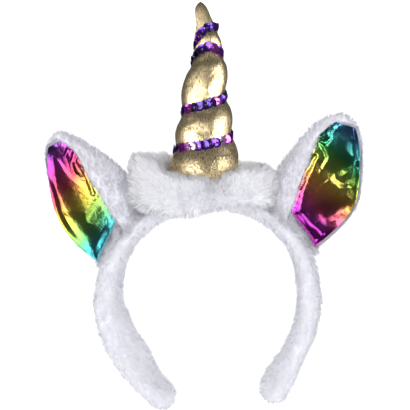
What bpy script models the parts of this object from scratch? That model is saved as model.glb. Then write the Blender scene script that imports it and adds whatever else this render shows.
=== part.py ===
"""A costume headband with a unicorn's horn, ears and a plush ruff, lying on its back.

The pieces are modelled as they are worn: X to the wearer's left, which is the right of the front view,
Y to the back of the head, Z up, with the origin under the middle of the crown. One empty then lays the
whole headband on its back, so that the ruff and both tips of the band rest on the plane Z = 0.
All lengths are in metres.
"""

import math

import bmesh
import bpy
import numpy as np
from mathutils import Euler, Vector

for leftover in list(bpy.data.objects):
    bpy.data.objects.remove(leftover, do_unlink=True)

# The padded band, a plush sleeve over a springy hoop
INNER_WIDTH = 0.1250
INNER_RISE = 0.0570
ARM_DROP = 0.0765
BAND_THICKNESS = 0.0172
BAND_DEPTH = 0.0280
TIP_ROUNDING = 0.0085
SEAM_DENT = 0.0012
LUMP_HEIGHT = 0.0005
CLEARANCE = 0.0004

# The stuffed horn and the string of sequins wound round it
HORN_HEIGHT = 0.1345
HORN_WIDTH = 0.0530
HORN_DEPTH = 0.0470
HORN_SHIFT = -0.0010
HORN_LEAN = 0.0060
GROOVE_DEPTH = 0.0026
GROOVE_FLOOR = 0.0050
SEQUIN_DIAMETER = 0.0060
SEQUIN_PITCH = 0.0045
SEQUIN_THICKNESS = 0.0007
SEQUIN_OVERLAP_RISE = 0.0008

# The plush ruff round the foot of the horn
RUFF_SPAN = 0.1070
RUFF_DEPTH = 0.0660
RUFF_HEIGHT = 0.0470
RUFF_SHIFT = -0.0028
RUFF_TUFT = 0.0016

# The cupped ears: a plush back and a thin foil lining
EAR_LENGTH = 0.0870
EAR_WIDTH = 0.0660
EAR_CUP = 0.0170
EAR_WALL = 0.0040
EAR_SETBACK = 0.0050
LINING_WALL = 0.0010
LINING_GAP = 0.0013
LINING_MARGIN = 0.0030
FOLD_HEIGHT = 0.0034
FOLD_WIDTH = 0.0042

# How the headband lies on its back
RUFF_REST_DEPTH = 0.0285
RUFF_REST_HEIGHT = 0.0160
TIP_REST_DEPTH = 0.0112
TIP_REST_INSET = 0.0120

# How finely the surfaces are divided
BAND_SIDES = 14
BAND_STATIONS = 58
HORN_SIDES = 22
HORN_ROWS = 44
RUFF_SIDES = 12
RUFF_STATIONS = 50
EAR_COLUMNS = 12
EAR_ROWS = 13
LINING_COLUMNS = 12
LINING_ROWS = 18
SECTIONS_PER_SEQUIN = 3
WELD = 0.00001

# The cup of the ears, as shares of its depth: the rim by the horn, the far edge and the floor
RIM_FORWARD = 0.55
CUP_RIM_DEPTH = 0.10
CUP_FLOOR_DEPTH = 0.42

BAND_HALF_THICKNESS = BAND_THICKNESS / 2
BAND_HALF_DEPTH = BAND_DEPTH / 2
AXIS_HALF_WIDTH = INNER_WIDTH / 2 + BAND_HALF_THICKNESS
AXIS_RISE = INNER_RISE + BAND_HALF_THICKNESS
WIDEST_LEVEL = -INNER_RISE
TIP_LEVEL = WIDEST_LEVEL - ARM_DROP
HORN_SEAT = BAND_THICKNESS + CLEARANCE

# One row for each station down the arms. Drop is a share of ARM_DROP, reach a share of the half width of
# the band's axis, and turn the degrees by which the oval section shows its inner face to the front.
ARM_ROWS = (
    {"drop": 0.18, "reach_left": 0.990, "turn_left": 27, "reach_right": 0.985, "turn_right": 0},
    {"drop": 0.36, "reach_left": 0.935, "turn_left": 40, "reach_right": 0.935, "turn_right": 2},
    {"drop": 0.52, "reach_left": 0.840, "turn_left": 56, "reach_right": 0.850, "turn_right": 8},
    {"drop": 0.69, "reach_left": 0.720, "turn_left": 45, "reach_right": 0.745, "turn_right": 24},
    {"drop": 0.85, "reach_left": 0.575, "turn_left": 34, "reach_right": 0.640, "turn_right": 34},
    {"drop": 1.00, "reach_left": 0.410, "turn_left": 28, "reach_right": 0.560, "turn_right": 30},
)
TURN_AT_WIDEST = {"left": 23, "right": 0}
ARC_STEPS = 8

# The horn's outline. Height is a share of HORN_HEIGHT, girth a share of the base's width or depth, and lean
# a share of HORN_LEAN to the right of the front view.
HORN_ROWS_TABLE = (
    {"height": 0.000, "girth": 0.66, "lean": 0.00},
    {"height": 0.040, "girth": 0.86, "lean": 0.00},
    {"height": 0.100, "girth": 0.98, "lean": 0.00},
    {"height": 0.160, "girth": 0.97, "lean": 0.02},
    {"height": 0.240, "girth": 0.865, "lean": 0.18},
    {"height": 0.320, "girth": 0.795, "lean": 0.17},
    {"height": 0.410, "girth": 0.725, "lean": 0.40},
    {"height": 0.500, "girth": 0.645, "lean": 0.25},
    {"height": 0.580, "girth": 0.605, "lean": 0.48},
    {"height": 0.660, "girth": 0.540, "lean": 0.80},
    {"height": 0.740, "girth": 0.435, "lean": 0.95},
    {"height": 0.820, "girth": 0.360, "lean": 0.85},
    {"height": 0.885, "girth": 0.305, "lean": 0.72},
    {"height": 0.925, "girth": 0.240, "lean": 0.42},
    {"height": 0.965, "girth": 0.185, "lean": 0.24},
    {"height": 0.990, "girth": 0.115, "lean": 0.20},
    {"height": 1.000, "girth": 0.040, "lean": 0.20},
)

# The sequin string's way up the horn, a row for each quarter turn. Turn 0 is at the left of the front view
# and 0.25 at the front, and height is a share of HORN_HEIGHT.
WINDING_ROWS = (
    {"turn": -0.50, "height": 0.130},
    {"turn": -0.25, "height": 0.185},
    {"turn": 0.00, "height": 0.226},
    {"turn": 0.25, "height": 0.243},
    {"turn": 0.50, "height": 0.293},
    {"turn": 0.75, "height": 0.365},
    {"turn": 1.00, "height": 0.425},
    {"turn": 1.25, "height": 0.455},
    {"turn": 1.50, "height": 0.510},
    {"turn": 1.75, "height": 0.610},
    {"turn": 2.00, "height": 0.705},
    {"turn": 2.25, "height": 0.765},
    {"turn": 2.50, "height": 0.722},
    {"turn": 2.75, "height": 0.735},
    {"turn": 3.00, "height": 0.785},
    {"turn": 3.25, "height": 0.862},
    {"turn": 3.50, "height": 0.868},
    {"turn": 3.75, "height": 0.876},
    {"turn": 4.00, "height": 0.905},
)
WINDING_START = -0.06
WINDING_END = 3.66

# The ruff all the way round the horn. Bearing 0 is at the right of the front view, 90 at the back and 270
# at the front. Side is a share of RUFF_SPAN / 2 and deep of RUFF_DEPTH / 2, hole a share of half the horn's
# width and depth, top a share of RUFF_HEIGHT, and foot a share of BAND_THICKNESS above the crown's underside.
RUFF_ROWS = (
    {"bearing": 0, "side": 0.86, "deep": 1.39, "hole": 0.86, "top": 0.76, "foot": 0.30},
    {"bearing": 28, "side": 0.84, "deep": 1.36, "hole": 0.84, "top": 0.82, "foot": 0.20},
    {"bearing": 60, "side": 0.66, "deep": 1.07, "hole": 0.74, "top": 0.84, "foot": 0.10},
    {"bearing": 90, "side": 0.58, "deep": 0.94, "hole": 0.70, "top": 0.84, "foot": 0.10},
    {"bearing": 120, "side": 0.67, "deep": 1.09, "hole": 0.74, "top": 0.92, "foot": 0.10},
    {"bearing": 152, "side": 0.84, "deep": 1.36, "hole": 0.86, "top": 1.00, "foot": 0.15},
    {"bearing": 180, "side": 0.92, "deep": 1.49, "hole": 0.92, "top": 0.94, "foot": 0.20},
    {"bearing": 205, "side": 1.06, "deep": 1.72, "hole": 0.96, "top": 0.94, "foot": 0.20},
    {"bearing": 235, "side": 0.84, "deep": 1.36, "hole": 0.86, "top": 0.78, "foot": -0.25},
    {"bearing": 258, "side": 0.66, "deep": 1.07, "hole": 0.72, "top": 0.64, "foot": -0.25},
    {"bearing": 275, "side": 0.62, "deep": 1.00, "hole": 0.70, "top": 0.58, "foot": -0.08},
    {"bearing": 288, "side": 0.60, "deep": 0.97, "hole": 0.69, "top": 0.53, "foot": -0.05},
    {"bearing": 304, "side": 0.72, "deep": 1.17, "hole": 0.75, "top": 0.66, "foot": -0.10},
    {"bearing": 328, "side": 1.02, "deep": 1.65, "hole": 0.88, "top": 0.76, "foot": 0.10},
    {"bearing": 345, "side": 1.04, "deep": 1.69, "hole": 0.91, "top": 0.77, "foot": 0.25},
)
RUFF_SQUARENESS = 0.78
RUFF_TUFT_WAVES = ((17, 2), (11, -1), (7, 1))

# Each ear from its foot to its tip. Along is a share of EAR_LENGTH. Fold, rim and edge are shares of
# EAR_WIDTH, with plus away from the horn: fold is where the plush turns forward, rim where that turned part
# ends, and edge the far side. Cup, its depth, and forward, how far all of it comes forward, are shares of
# EAR_CUP.
EAR_ROWS_TABLE = {
    "right": (
        {"along": -0.09, "fold": -0.160, "rim": -0.060, "edge": 0.235, "cup": 0.30, "forward": 0.55},
        {"along": 0.00, "fold": -0.320, "rim": -0.190, "edge": 0.305, "cup": 0.45, "forward": 0.50},
        {"along": 0.12, "fold": -0.450, "rim": -0.185, "edge": 0.395, "cup": 0.75, "forward": 0.34},
        {"along": 0.25, "fold": -0.520, "rim": -0.180, "edge": 0.480, "cup": 1.00, "forward": 0.10},
        {"along": 0.40, "fold": -0.500, "rim": -0.185, "edge": 0.525, "cup": 1.00, "forward": 0.02},
        {"along": 0.55, "fold": -0.435, "rim": -0.175, "edge": 0.495, "cup": 0.95, "forward": 0.00},
        {"along": 0.70, "fold": -0.360, "rim": -0.165, "edge": 0.445, "cup": 0.85, "forward": 0.00},
        {"along": 0.82, "fold": -0.295, "rim": -0.170, "edge": 0.395, "cup": 0.70, "forward": 0.02},
        {"along": 0.91, "fold": -0.215, "rim": -0.120, "edge": 0.335, "cup": 0.52, "forward": 0.05},
        {"along": 0.97, "fold": -0.140, "rim": -0.050, "edge": 0.290, "cup": 0.38, "forward": 0.08},
        {"along": 1.01, "fold": -0.060, "rim": 0.030, "edge": 0.235, "cup": 0.28, "forward": 0.10},
        {"along": 1.03, "fold": 0.020, "rim": 0.100, "edge": 0.160, "cup": 0.22, "forward": 0.12},
    ),
    "left": (
        {"along": -0.11, "fold": -0.160, "rim": -0.040, "edge": 0.235, "cup": 0.30, "forward": 0.55},
        {"along": 0.00, "fold": -0.340, "rim": -0.200, "edge": 0.295, "cup": 0.50, "forward": 0.50},
        {"along": 0.13, "fold": -0.450, "rim": -0.175, "edge": 0.350, "cup": 0.85, "forward": 0.34},
        {"along": 0.28, "fold": -0.530, "rim": -0.165, "edge": 0.380, "cup": 1.15, "forward": 0.08},
        {"along": 0.42, "fold": -0.530, "rim": -0.160, "edge": 0.375, "cup": 1.20, "forward": 0.00},
        {"along": 0.56, "fold": -0.475, "rim": -0.155, "edge": 0.335, "cup": 1.15, "forward": 0.00},
        {"along": 0.70, "fold": -0.385, "rim": -0.160, "edge": 0.270, "cup": 1.00, "forward": 0.00},
        {"along": 0.82, "fold": -0.300, "rim": -0.150, "edge": 0.210, "cup": 0.75, "forward": 0.02},
        {"along": 0.91, "fold": -0.220, "rim": -0.110, "edge": 0.150, "cup": 0.50, "forward": 0.05},
        {"along": 0.95, "fold": -0.175, "rim": -0.060, "edge": 0.095, "cup": 0.34, "forward": 0.08},
        {"along": 0.98, "fold": -0.110, "rim": -0.030, "edge": 0.030, "cup": 0.26, "forward": 0.10},
    ),
}
# Bearing is the degrees up from the band's widest level, lean the degrees outwards from upright, and lift
# how far the foot's middle stands off the band's outer side, as a share of BAND_THICKNESS.
EAR_PLACES = {
    "right": {"side": 1, "bearing": 34, "lean": 20.0, "lift": 0.0},
    "left": {"side": -1, "bearing": 32, "lean": 27.5, "lift": 0.16},
}
# The lining's usual width is a share of EAR_WIDTH.
# Where each lining begins and ends, as shares of EAR_LENGTH, and how far it stops short of the ear's edge, as
# a share of LINING_MARGIN. Its foot slants from beside the rim to the edge.
LINING_WIDTH_SHARE = 0.66
LINING_SPANS = {
    "right": {"foot_at_rim": 0.165, "foot_at_edge": -0.045, "tip": 0.975, "margin": 1.00},
    "left": {"foot_at_rim": 0.135, "foot_at_edge": -0.085, "tip": 0.925, "margin": 0.35},
}

# The main folds of each foil lining, as runs from one place to the next. Along is a share of the lining's own
# length and across of its width, from the rim by the horn to the far edge. Height is a share of FOLD_HEIGHT.
FOLDS = {
    "right": (
        {"along": (0.62, 0.55, 0.50), "across": (0.92, 0.70, 0.62), "height": 0.9},
        {"along": (0.50, 0.47, 0.36, 0.27), "across": (0.62, 0.80, 0.92, 0.84), "height": 1.0},
        {"along": (0.96, 0.88, 0.78), "across": (0.16, 0.30, 0.12), "height": 0.9},
        {"along": (0.74, 0.56, 0.40), "across": (0.14, 0.12, 0.06), "height": 0.5},
        {"along": (0.27, 0.18, 0.10), "across": (0.84, 0.72, 0.80), "height": 0.9},
        {"along": (0.10, 0.16, 0.20), "across": (0.66, 0.40, 0.16), "height": 0.7},
    ),
    "left": (
        {"along": (0.90, 0.72, 0.52, 0.32, 0.14), "across": (0.86, 0.80, 0.72, 0.66, 0.76), "height": 1.0},
        {"along": (0.90, 0.82, 0.70, 0.58), "across": (0.84, 0.56, 0.34, 0.08), "height": 0.7},
        {"along": (0.96, 0.84, 0.70), "across": (0.40, 0.36, 0.14), "height": 0.8},
        {"along": (0.86, 0.74, 0.62), "across": (0.16, 0.22, 0.04), "height": 0.6},
        {"along": (0.44, 0.34, 0.22, 0.10), "across": (0.10, 0.34, 0.28, 0.50), "height": 0.8},
    ),
}


def catmull_rom(rows, share):
    """The point at a share of the way along a smooth curve through rows, which are lists of numbers."""
    rows = np.asarray(rows, float)
    spans = len(rows) - 1
    position = min(max(share, 0.0), 1.0) * spans
    first = min(int(position), spans - 1)
    t = position - first
    before = rows[max(first - 1, 0)]
    start, end = rows[first], rows[first + 1]
    after = rows[min(first + 2, spans)]
    return 0.5 * (
        2 * start
        + (end - before) * t
        + (2 * before - 5 * start + 4 * end - after) * t**2
        + (3 * start - before - 3 * end + after) * t**3
    )


def along_table(rows, key, wanted):
    """Every other column of a table of dictionaries, read smoothly where the column named key has a value."""
    names = [name for name in rows[0] if name != key]
    stops = [row[key] for row in rows]
    wanted = min(max(wanted, stops[0]), stops[-1])
    first = max(index for index, stop in enumerate(stops[:-1]) if stop <= wanted)
    share = (first + (wanted - stops[first]) / (stops[first + 1] - stops[first])) / (len(stops) - 1)
    values = catmull_rom([[row[name] for name in names] for row in rows], share)
    return dict(zip(names, values))


def rest_line():
    """The tilt of the resting plane and a point on it, in the worn frame, as (tilt, depth, height)."""
    tip_height = TIP_LEVEL + TIP_REST_INSET
    tilt = math.atan2(RUFF_REST_DEPTH - TIP_REST_DEPTH, RUFF_REST_HEIGHT - tip_height)
    return tilt, RUFF_REST_DEPTH, RUFF_REST_HEIGHT


REST_TILT, REST_DEPTH, REST_HEIGHT = rest_line()


def pressed_flat(point):
    """The point, moved forward on to the resting plane if it lies behind it."""
    floor_depth = REST_DEPTH + (point.z - REST_HEIGHT) * math.tan(REST_TILT)
    return Vector((point.x, min(point.y, floor_depth), point.z))


def band_axis_rows():
    """The band's axis from the left tip over the crown to the right tip, as rows of x, z and turn."""
    rows = []
    for row in reversed(ARM_ROWS):
        level = WIDEST_LEVEL - row["drop"] * ARM_DROP
        rows.append((-row["reach_left"] * AXIS_HALF_WIDTH, level, row["turn_left"]))
    for step in range(ARC_STEPS + 1):
        angle = math.pi * (1 - step / ARC_STEPS)
        side = "left" if step < ARC_STEPS / 2 else "right"
        turn = TURN_AT_WIDEST[side] * abs(math.cos(angle)) ** 3
        rows.append((AXIS_HALF_WIDTH * math.cos(angle), WIDEST_LEVEL + AXIS_RISE * math.sin(angle), turn))
    for row in ARM_ROWS:
        level = WIDEST_LEVEL - row["drop"] * ARM_DROP
        rows.append((row["reach_right"] * AXIS_HALF_WIDTH, level, row["turn_right"]))
    return rows


def band_stations():
    """Sections along the band's axis: its point, the outward normal, the turn and how full it is there."""
    rows = band_axis_rows()
    fine = np.array([catmull_rom(rows, step / 600) for step in range(601)])
    travelled = np.concatenate([[0], np.cumsum(np.hypot(*np.diff(fine[:, :2], axis=0).T))])
    total = travelled[-1]
    rounding = [TIP_ROUNDING * share for share in (0.0, 0.08, 0.25, 0.55)]
    middle = np.linspace(TIP_ROUNDING, total - TIP_ROUNDING, BAND_STATIONS - 2 * len(rounding))
    stops = [*rounding, *middle, *(total - stop for stop in reversed(rounding))]
    stations = []
    for stop in stops:
        x, z, turn = (np.interp(stop, travelled, fine[:, column]) for column in range(3))
        step = TIP_ROUNDING / 4
        ahead = [np.interp(min(stop + step, total), travelled, fine[:, column]) for column in range(2)]
        behind = [np.interp(max(stop - step, 0), travelled, fine[:, column]) for column in range(2)]
        tangent = Vector((ahead[0] - behind[0], 0, ahead[1] - behind[1])).normalized()
        outward = Vector((-tangent.z, 0, tangent.x))
        from_end = min(stop, total - stop) / TIP_ROUNDING
        full = math.sqrt(max(1 - (1 - min(from_end, 1)) ** 2, 0.12))
        stations.append({"point": Vector((x, 0, z)), "outward": outward, "turn": math.radians(turn),
                         "full": full, "travelled": stop})
    return stations


def wavy(position, wavelengths):
    """A smooth irregular wave between about -1 and 1."""
    return sum(math.sin(2 * math.pi * position / length + 1.7 * number)
               for number, length in enumerate(wavelengths)) / len(wavelengths)


def new_object(name, colour=None, roughness=0.9, metallic=0.0):
    """An empty mesh object laid on its back with the rest, with a plain material if it has a colour."""
    mesh = bpy.data.meshes.new(name)
    obj = bpy.data.objects.new(name, mesh)
    bpy.context.scene.collection.objects.link(obj)
    obj.parent = LAID_DOWN
    if colour:
        material = bpy.data.materials.new(name)
        material.use_nodes = True
        shader = material.node_tree.nodes["Principled BSDF"]
        shader.inputs["Base Color"].default_value = (*colour, 1)
        shader.inputs["Roughness"].default_value = roughness
        shader.inputs["Metallic"].default_value = metallic
        mesh.materials.append(material)
    return obj


def fill_surface(obj, columns, rows, place, closed=True, smooth=True):
    """Gives obj a grid whose points are place(across, along), both from 0 to 1, with meeting sides welded."""
    bm = bmesh.new()
    bmesh.ops.create_grid(bm, x_segments=columns, y_segments=rows, size=0.5)
    for vertex in bm.verts:
        vertex.co = place(vertex.co.x + 0.5, vertex.co.y + 0.5)
    if closed:
        bmesh.ops.remove_doubles(bm, verts=bm.verts, dist=WELD)
        bmesh.ops.holes_fill(bm, edges=[edge for edge in bm.edges if edge.is_boundary], sides=0)
        bmesh.ops.recalc_face_normals(bm, faces=bm.faces)
    bm.to_mesh(obj.data)
    bm.free()
    if smooth:
        obj.data.shade_smooth()


def mark_as_cutter(obj):
    """Hides a helper that only cuts other pieces."""
    obj.hide_render = True
    obj.display_type = "WIRE"
    return obj


def cut(obj, *cutters):
    """Takes the cutters' shapes out of obj."""
    for cutter in cutters:
        boolean = obj.modifiers.new("clear_of_" + cutter.name, "BOOLEAN")
        boolean.operation = "DIFFERENCE"
        boolean.solver = "EXACT"
        boolean.object = cutter


def make_band(name, grow=0.0, colour=None):
    """The plush sleeve: an oval section swept along the hoop, rounded at the tips, grown by a clearance."""
    stations = band_stations()
    last = len(stations) - 1

    def place(around, along):
        station = stations[round(along * last)]
        angle = 2 * math.pi * around
        swell = LUMP_HEIGHT * wavy(station["travelled"], (0.061, 0.037, 0.023))
        dent = SEAM_DENT * max(0.0, -math.sin(angle)) ** 12
        radial = (BAND_HALF_THICKNESS + swell) * station["full"] + grow
        deep = (BAND_HALF_DEPTH + swell - dent) * station["full"] + grow
        turn, outward, back = station["turn"], station["outward"], Vector((0, 1, 0))
        turned_out = outward * math.cos(turn) + back * math.sin(turn)
        turned_back = back * math.cos(turn) - outward * math.sin(turn)
        point = (station["point"] + turned_out * (radial * math.cos(angle))
                 + turned_back * (deep * math.sin(angle)))
        return pressed_flat(point)

    obj = new_object(name, colour)
    fill_surface(obj, BAND_SIDES, last, place)
    return obj


def winding_height(turn):
    """The sequin string's height above the horn's seat after a number of turns."""
    return along_table(WINDING_ROWS, "turn", turn)["height"] * HORN_HEIGHT


def passes_at(angle):
    """The heights at which the string crosses the bearing angle, in radians, from the lowest up."""
    turn = (angle - math.pi) / (2 * math.pi)
    first, last = WINDING_ROWS[0]["turn"], WINDING_ROWS[-1]["turn"]
    turns = [turn + whole for whole in range(-2, 6) if first <= turn + whole <= last]
    return sorted(winding_height(each) for each in turns)


def plumpness(angle, height):
    """0 in the groove under the string and 1 on the crest of the stuffing between two turns."""
    heights = passes_at(angle)
    below = max((each for each in heights if each <= height), default=-heights[0])
    above = min((each for each in heights if each > height), default=2 * HORN_HEIGHT - heights[-1])
    margin = GROOVE_FLOOR / 2
    share = (height - below - margin) / max(above - below - 2 * margin, margin)
    return math.sin(math.pi * min(max(share, 0.0), 1.0)) ** 0.55


def horn_point(angle, height, grow=0.0):
    """A point on the horn at a bearing in radians and a height above its seat."""
    row = along_table(HORN_ROWS_TABLE, "height", height / HORN_HEIGHT)
    groove = GROOVE_DEPTH * min(row["girth"] * 2, 1) * (1 - plumpness(angle, height))
    half_width = max(row["girth"] * HORN_WIDTH / 2 - groove, HORN_WIDTH / 80) + grow
    half_depth = max(row["girth"] * HORN_DEPTH / 2 - groove, HORN_DEPTH / 80) + grow
    centre = HORN_SHIFT + row["lean"] * HORN_LEAN
    return Vector((centre + half_width * math.cos(angle), half_depth * math.sin(angle), HORN_SEAT + height))


def make_horn(name, grow=0.0, colour=None):
    """The stuffed cone with a groove where the string is wound, closed by a flat seat."""

    def place(around, along):
        spread = 0.5 - 0.5 * math.cos(math.pi * along)
        height = HORN_HEIGHT * (0.75 * along + 0.25 * spread)
        point = horn_point(2 * math.pi * around, height, grow)
        point.z += grow * (2 * along - 1)
        return point

    obj = new_object(name, colour, roughness=0.4, metallic=0.9)
    fill_surface(obj, HORN_SIDES, HORN_ROWS, place)
    return obj


def string_frame(turn):
    """The string's seat on the horn at a turn: the point, the way outwards and the height above the seat."""
    angle = math.pi + 2 * math.pi * turn
    height = winding_height(turn)
    reach = SEQUIN_DIAMETER / 2
    touching = [horn_point(angle, height + step) for step in (-reach, -reach / 2, 0, reach / 2, reach)]
    outward = Vector((math.cos(angle) / HORN_WIDTH, math.sin(angle) / HORN_DEPTH, 0)).normalized()
    seat = horn_point(angle, height)
    highest = max((point - seat).dot(outward) for point in touching)
    slope = (touching[0] - touching[-1]).dot(outward) / SEQUIN_DIAMETER
    up = (Vector((0, 0, 1)) - outward * slope * 0.6).normalized()
    return seat + outward * (max(highest, 0) * 0.75 + CLEARANCE * 1.5), outward, up


def string_stops():
    """Turns at which one sequin ends and the next begins, one SEQUIN_PITCH apart along the string."""
    turns = np.linspace(WINDING_START, WINDING_END, 1200)
    points = [string_frame(turn)[0] for turn in turns]
    steps = [(b - a).length for a, b in zip(points, points[1:])]
    travelled = np.concatenate([[0], np.cumsum(steps)])
    count = int(travelled[-1] / SEQUIN_PITCH)
    return [float(np.interp(number * SEQUIN_PITCH, travelled, turns)) for number in range(count + 1)]


def make_sequin_string(name, colour):
    """Round sequins on a string, each lapping over the next like a roof tile, as one body."""
    stops = string_stops()
    sections = []
    for start, end in zip(stops, stops[1:]):
        for number in range(SECTIONS_PER_SEQUIN):
            share = number / (SECTIONS_PER_SEQUIN - 1)
            from_middle = (share - 0.5) * SEQUIN_PITCH
            half_width = math.sqrt((SEQUIN_DIAMETER / 2) ** 2 - from_middle**2)
            turn = start + (end - start) * (0.03 + 0.94 * share)
            sections.append((turn, half_width, SEQUIN_OVERLAP_RISE * share))
    last = len(sections) - 1
    corners = ((-1, 0), (1, 0), (1, 1), (-1, 1))

    def place(around, along):
        turn, half_width, rise = sections[round(along * last)]
        seat, outward, up = string_frame(turn)
        ahead = string_frame(turn + 0.004)[0] - string_frame(turn - 0.004)[0]
        across = ahead.cross(outward).normalized()
        across = across if across.dot(up) > 0 else -across
        side, level = corners[round(around * 4) % 4]
        return seat + across * (side * half_width) + outward * (rise + level * SEQUIN_THICKNESS)

    obj = new_object(name, colour, roughness=0.25, metallic=0.8)
    fill_surface(obj, 4, last, place, smooth=False)
    return obj


def make_ruff(name, grow=0.0, cutters=(), colour=None):
    """The plush ring, higher at both ends than in front, pressed flat at the back where it lies."""
    wrapped = [*RUFF_ROWS, {**RUFF_ROWS[0], "bearing": 360}]

    def place(around, along):
        bearing = 360 * along
        row = along_table(wrapped, "bearing", bearing)
        heading = np.array((math.cos(math.radians(bearing)), math.sin(math.radians(bearing))))
        outer = heading * (row["side"] * RUFF_SPAN / 2, row["deep"] * RUFF_DEPTH / 2)
        inner = heading * (row["hole"] * HORN_WIDTH / 2, row["hole"] * HORN_DEPTH / 2)
        top = row["top"] * RUFF_HEIGHT
        foot = row["foot"] * BAND_THICKNESS
        angle = 2 * math.pi * around
        tuft = grow + RUFF_TUFT * sum(
            math.sin(2 * math.pi * (round_ring * along + round_section * around))
            for round_ring, round_section in RUFF_TUFT_WAVES
        ) / len(RUFF_TUFT_WAVES)
        out = math.copysign(abs(math.cos(angle)) ** RUFF_SQUARENESS, math.cos(angle))
        up = math.copysign(abs(math.sin(angle)) ** RUFF_SQUARENESS, math.sin(angle))
        x, y = (outer + inner) / 2 + (outer - inner) / 2 * out + heading * tuft * out
        height = (top + foot) / 2 + ((top - foot) / 2 + tuft) * up
        return pressed_flat(Vector((RUFF_SHIFT + x, y, height)))

    obj = new_object(name, colour)
    fill_surface(obj, RUFF_SIDES, RUFF_STATIONS, place)
    cut(obj, *cutters)
    return obj


def ear_frame(side_name):
    """The middle of an ear's foot, its direction and the way across it away from the horn."""
    place = EAR_PLACES[side_name]
    bearing, lean = math.radians(place["bearing"]), math.radians(place["lean"])
    lift = BAND_HALF_THICKNESS + place["lift"] * BAND_THICKNESS
    foot = Vector((
        place["side"] * (AXIS_HALF_WIDTH + lift) * math.cos(bearing),
        EAR_SETBACK,
        WIDEST_LEVEL + (AXIS_RISE + lift) * math.sin(bearing),
    ))
    direction = Vector((place["side"] * math.sin(lean), 0, math.cos(lean)))
    across = Vector((place["side"] * math.cos(lean), 0, -math.sin(lean)))
    return foot, direction, across


def in_ear(side_name, along, across, forward):
    """A point in the worn frame from lengths along and across an ear and in front of its middle."""
    foot, direction, sideways = ear_frame(side_name)
    return foot + direction * along + sideways * across + Vector((0, -forward, 0))


def cup_depth(row, across):
    """How far forward the floor of the cup is at a place across the ear."""
    share = min(max((across - row["fold"]) / (row["edge"] - row["fold"]), 0.0), 1.0)
    hollow = CUP_RIM_DEPTH * share - CUP_FLOOR_DEPTH * math.sin(math.pi * share) ** 0.6
    return row["forward"] + row["cup"] * hollow


def ear_row(side_name, along):
    """The table's row for an ear at a share of EAR_LENGTH, with lengths in metres."""
    row = along_table(EAR_ROWS_TABLE[side_name], "along", along)
    edge = row["edge"] * EAR_WIDTH - EAR_WALL / 2
    rim = row["rim"] * EAR_WIDTH
    fold = min(row["fold"] * EAR_WIDTH + EAR_WALL, rim - EAR_WALL / 4)
    return {"fold": fold, "rim": rim, "edge": edge,
            "cup": row["cup"] * EAR_CUP, "forward": row["forward"] * EAR_CUP}


def add_wall(obj, name, thickness, side_name, forwards):
    """Thickens an open sheet to one side of it."""
    wall = obj.modifiers.new(name, "SOLIDIFY")
    wall.thickness = thickness
    wall.offset = EAR_PLACES[side_name]["side"] * (1 if forwards else -1)
    wall.use_even_offset = False


def make_ear_back(side_name, cutters, colour):
    """The plush back of an ear: a cup whose inner side turns forward, as one wall of even thickness."""
    rows = EAR_ROWS_TABLE[side_name]
    first, last = rows[0]["along"], rows[-1]["along"]

    def place(around, along):
        share = first + (last - first) * (1 - (1 - along) ** 1.25)
        row = ear_row(side_name, share)
        section = [
            (row["rim"], row["forward"] + RIM_FORWARD * row["cup"]),
            ((row["rim"] + row["fold"]) / 2, row["forward"] + (RIM_FORWARD + 0.06) * row["cup"]),
            (row["fold"], row["forward"] + 0.20 * row["cup"]),
        ]
        for step in (0.10, 0.30, 0.55, 0.80, 1.0):
            across = row["fold"] + step * (row["edge"] - row["fold"])
            section.append((across, cup_depth(row, across)))
        across, forward = catmull_rom(section, around)
        return in_ear(side_name, share * EAR_LENGTH, across, forward)

    obj = new_object(f"ear_back_{side_name}", colour)
    fill_surface(obj, EAR_COLUMNS, EAR_ROWS, place, closed=False)
    add_wall(obj, "plush_wall", EAR_WALL, side_name, forwards=False)
    cut(obj, *cutters)
    return obj


def distance_to_run(point, run):
    """The distance in metres from a flat point to a chain of flat points."""
    nearest = float("inf")
    for start, end in zip(run, run[1:]):
        step = end - start
        share = float(np.clip(np.dot(point - start, step) / max(np.dot(step, step), 1e-12), 0, 1))
        nearest = min(nearest, float(np.hypot(*(point - start - share * step))))
    return nearest


def fold_lift(side_name, across, along):
    """How far the foil stands forward of its smooth shape at a place on the lining."""
    size = np.array((LINING_WIDTH_SHARE * EAR_WIDTH, EAR_LENGTH))
    here = np.array((across, along)) * size
    fade_across = math.sin(math.pi * min(max(across, 0.0), 1.0)) ** 0.5
    fade_along = math.sin(math.pi * (0.08 + 0.84 * along)) ** 0.4
    lift = 0.0
    for fold in FOLDS[side_name]:
        run = [np.array(place) * size for place in zip(fold["across"], fold["along"])]
        near = distance_to_run(here, run) / FOLD_WIDTH
        lift = max(lift, fold["height"] * math.exp(-near * near))
    return FOLD_HEIGHT * lift * fade_across * fade_along


def make_ear_lining(side_name, cutters, colour):
    """The foil lining: a thin sheet across the cup, from beside the rim to the far edge, with its folds."""
    span = LINING_SPANS[side_name]

    def place(around, along):
        foot = span["foot_at_rim"] + (span["foot_at_edge"] - span["foot_at_rim"]) * around
        share = foot + (span["tip"] - foot) * along
        row = ear_row(side_name, share)
        start = row["rim"] + LINING_GAP
        end = row["edge"] - span["margin"] * LINING_MARGIN
        across = start + (end - start) * around
        floor = cup_depth(row, across) + LINING_GAP
        hang = row["forward"] + RIM_FORWARD * row["cup"] - LINING_GAP - LINING_WALL - cup_depth(row, start)
        forward = floor + max(hang, 0) * (1 - around) ** 2 + fold_lift(side_name, around, along)
        return in_ear(side_name, share * EAR_LENGTH, across, forward)

    obj = new_object(f"ear_lining_{side_name}", colour, roughness=0.25, metallic=0.9)
    fill_surface(obj, LINING_COLUMNS, LINING_ROWS, place, closed=False)
    add_wall(obj, "foil_wall", LINING_WALL, side_name, forwards=True)
    cut(obj, *cutters)
    return obj


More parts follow.
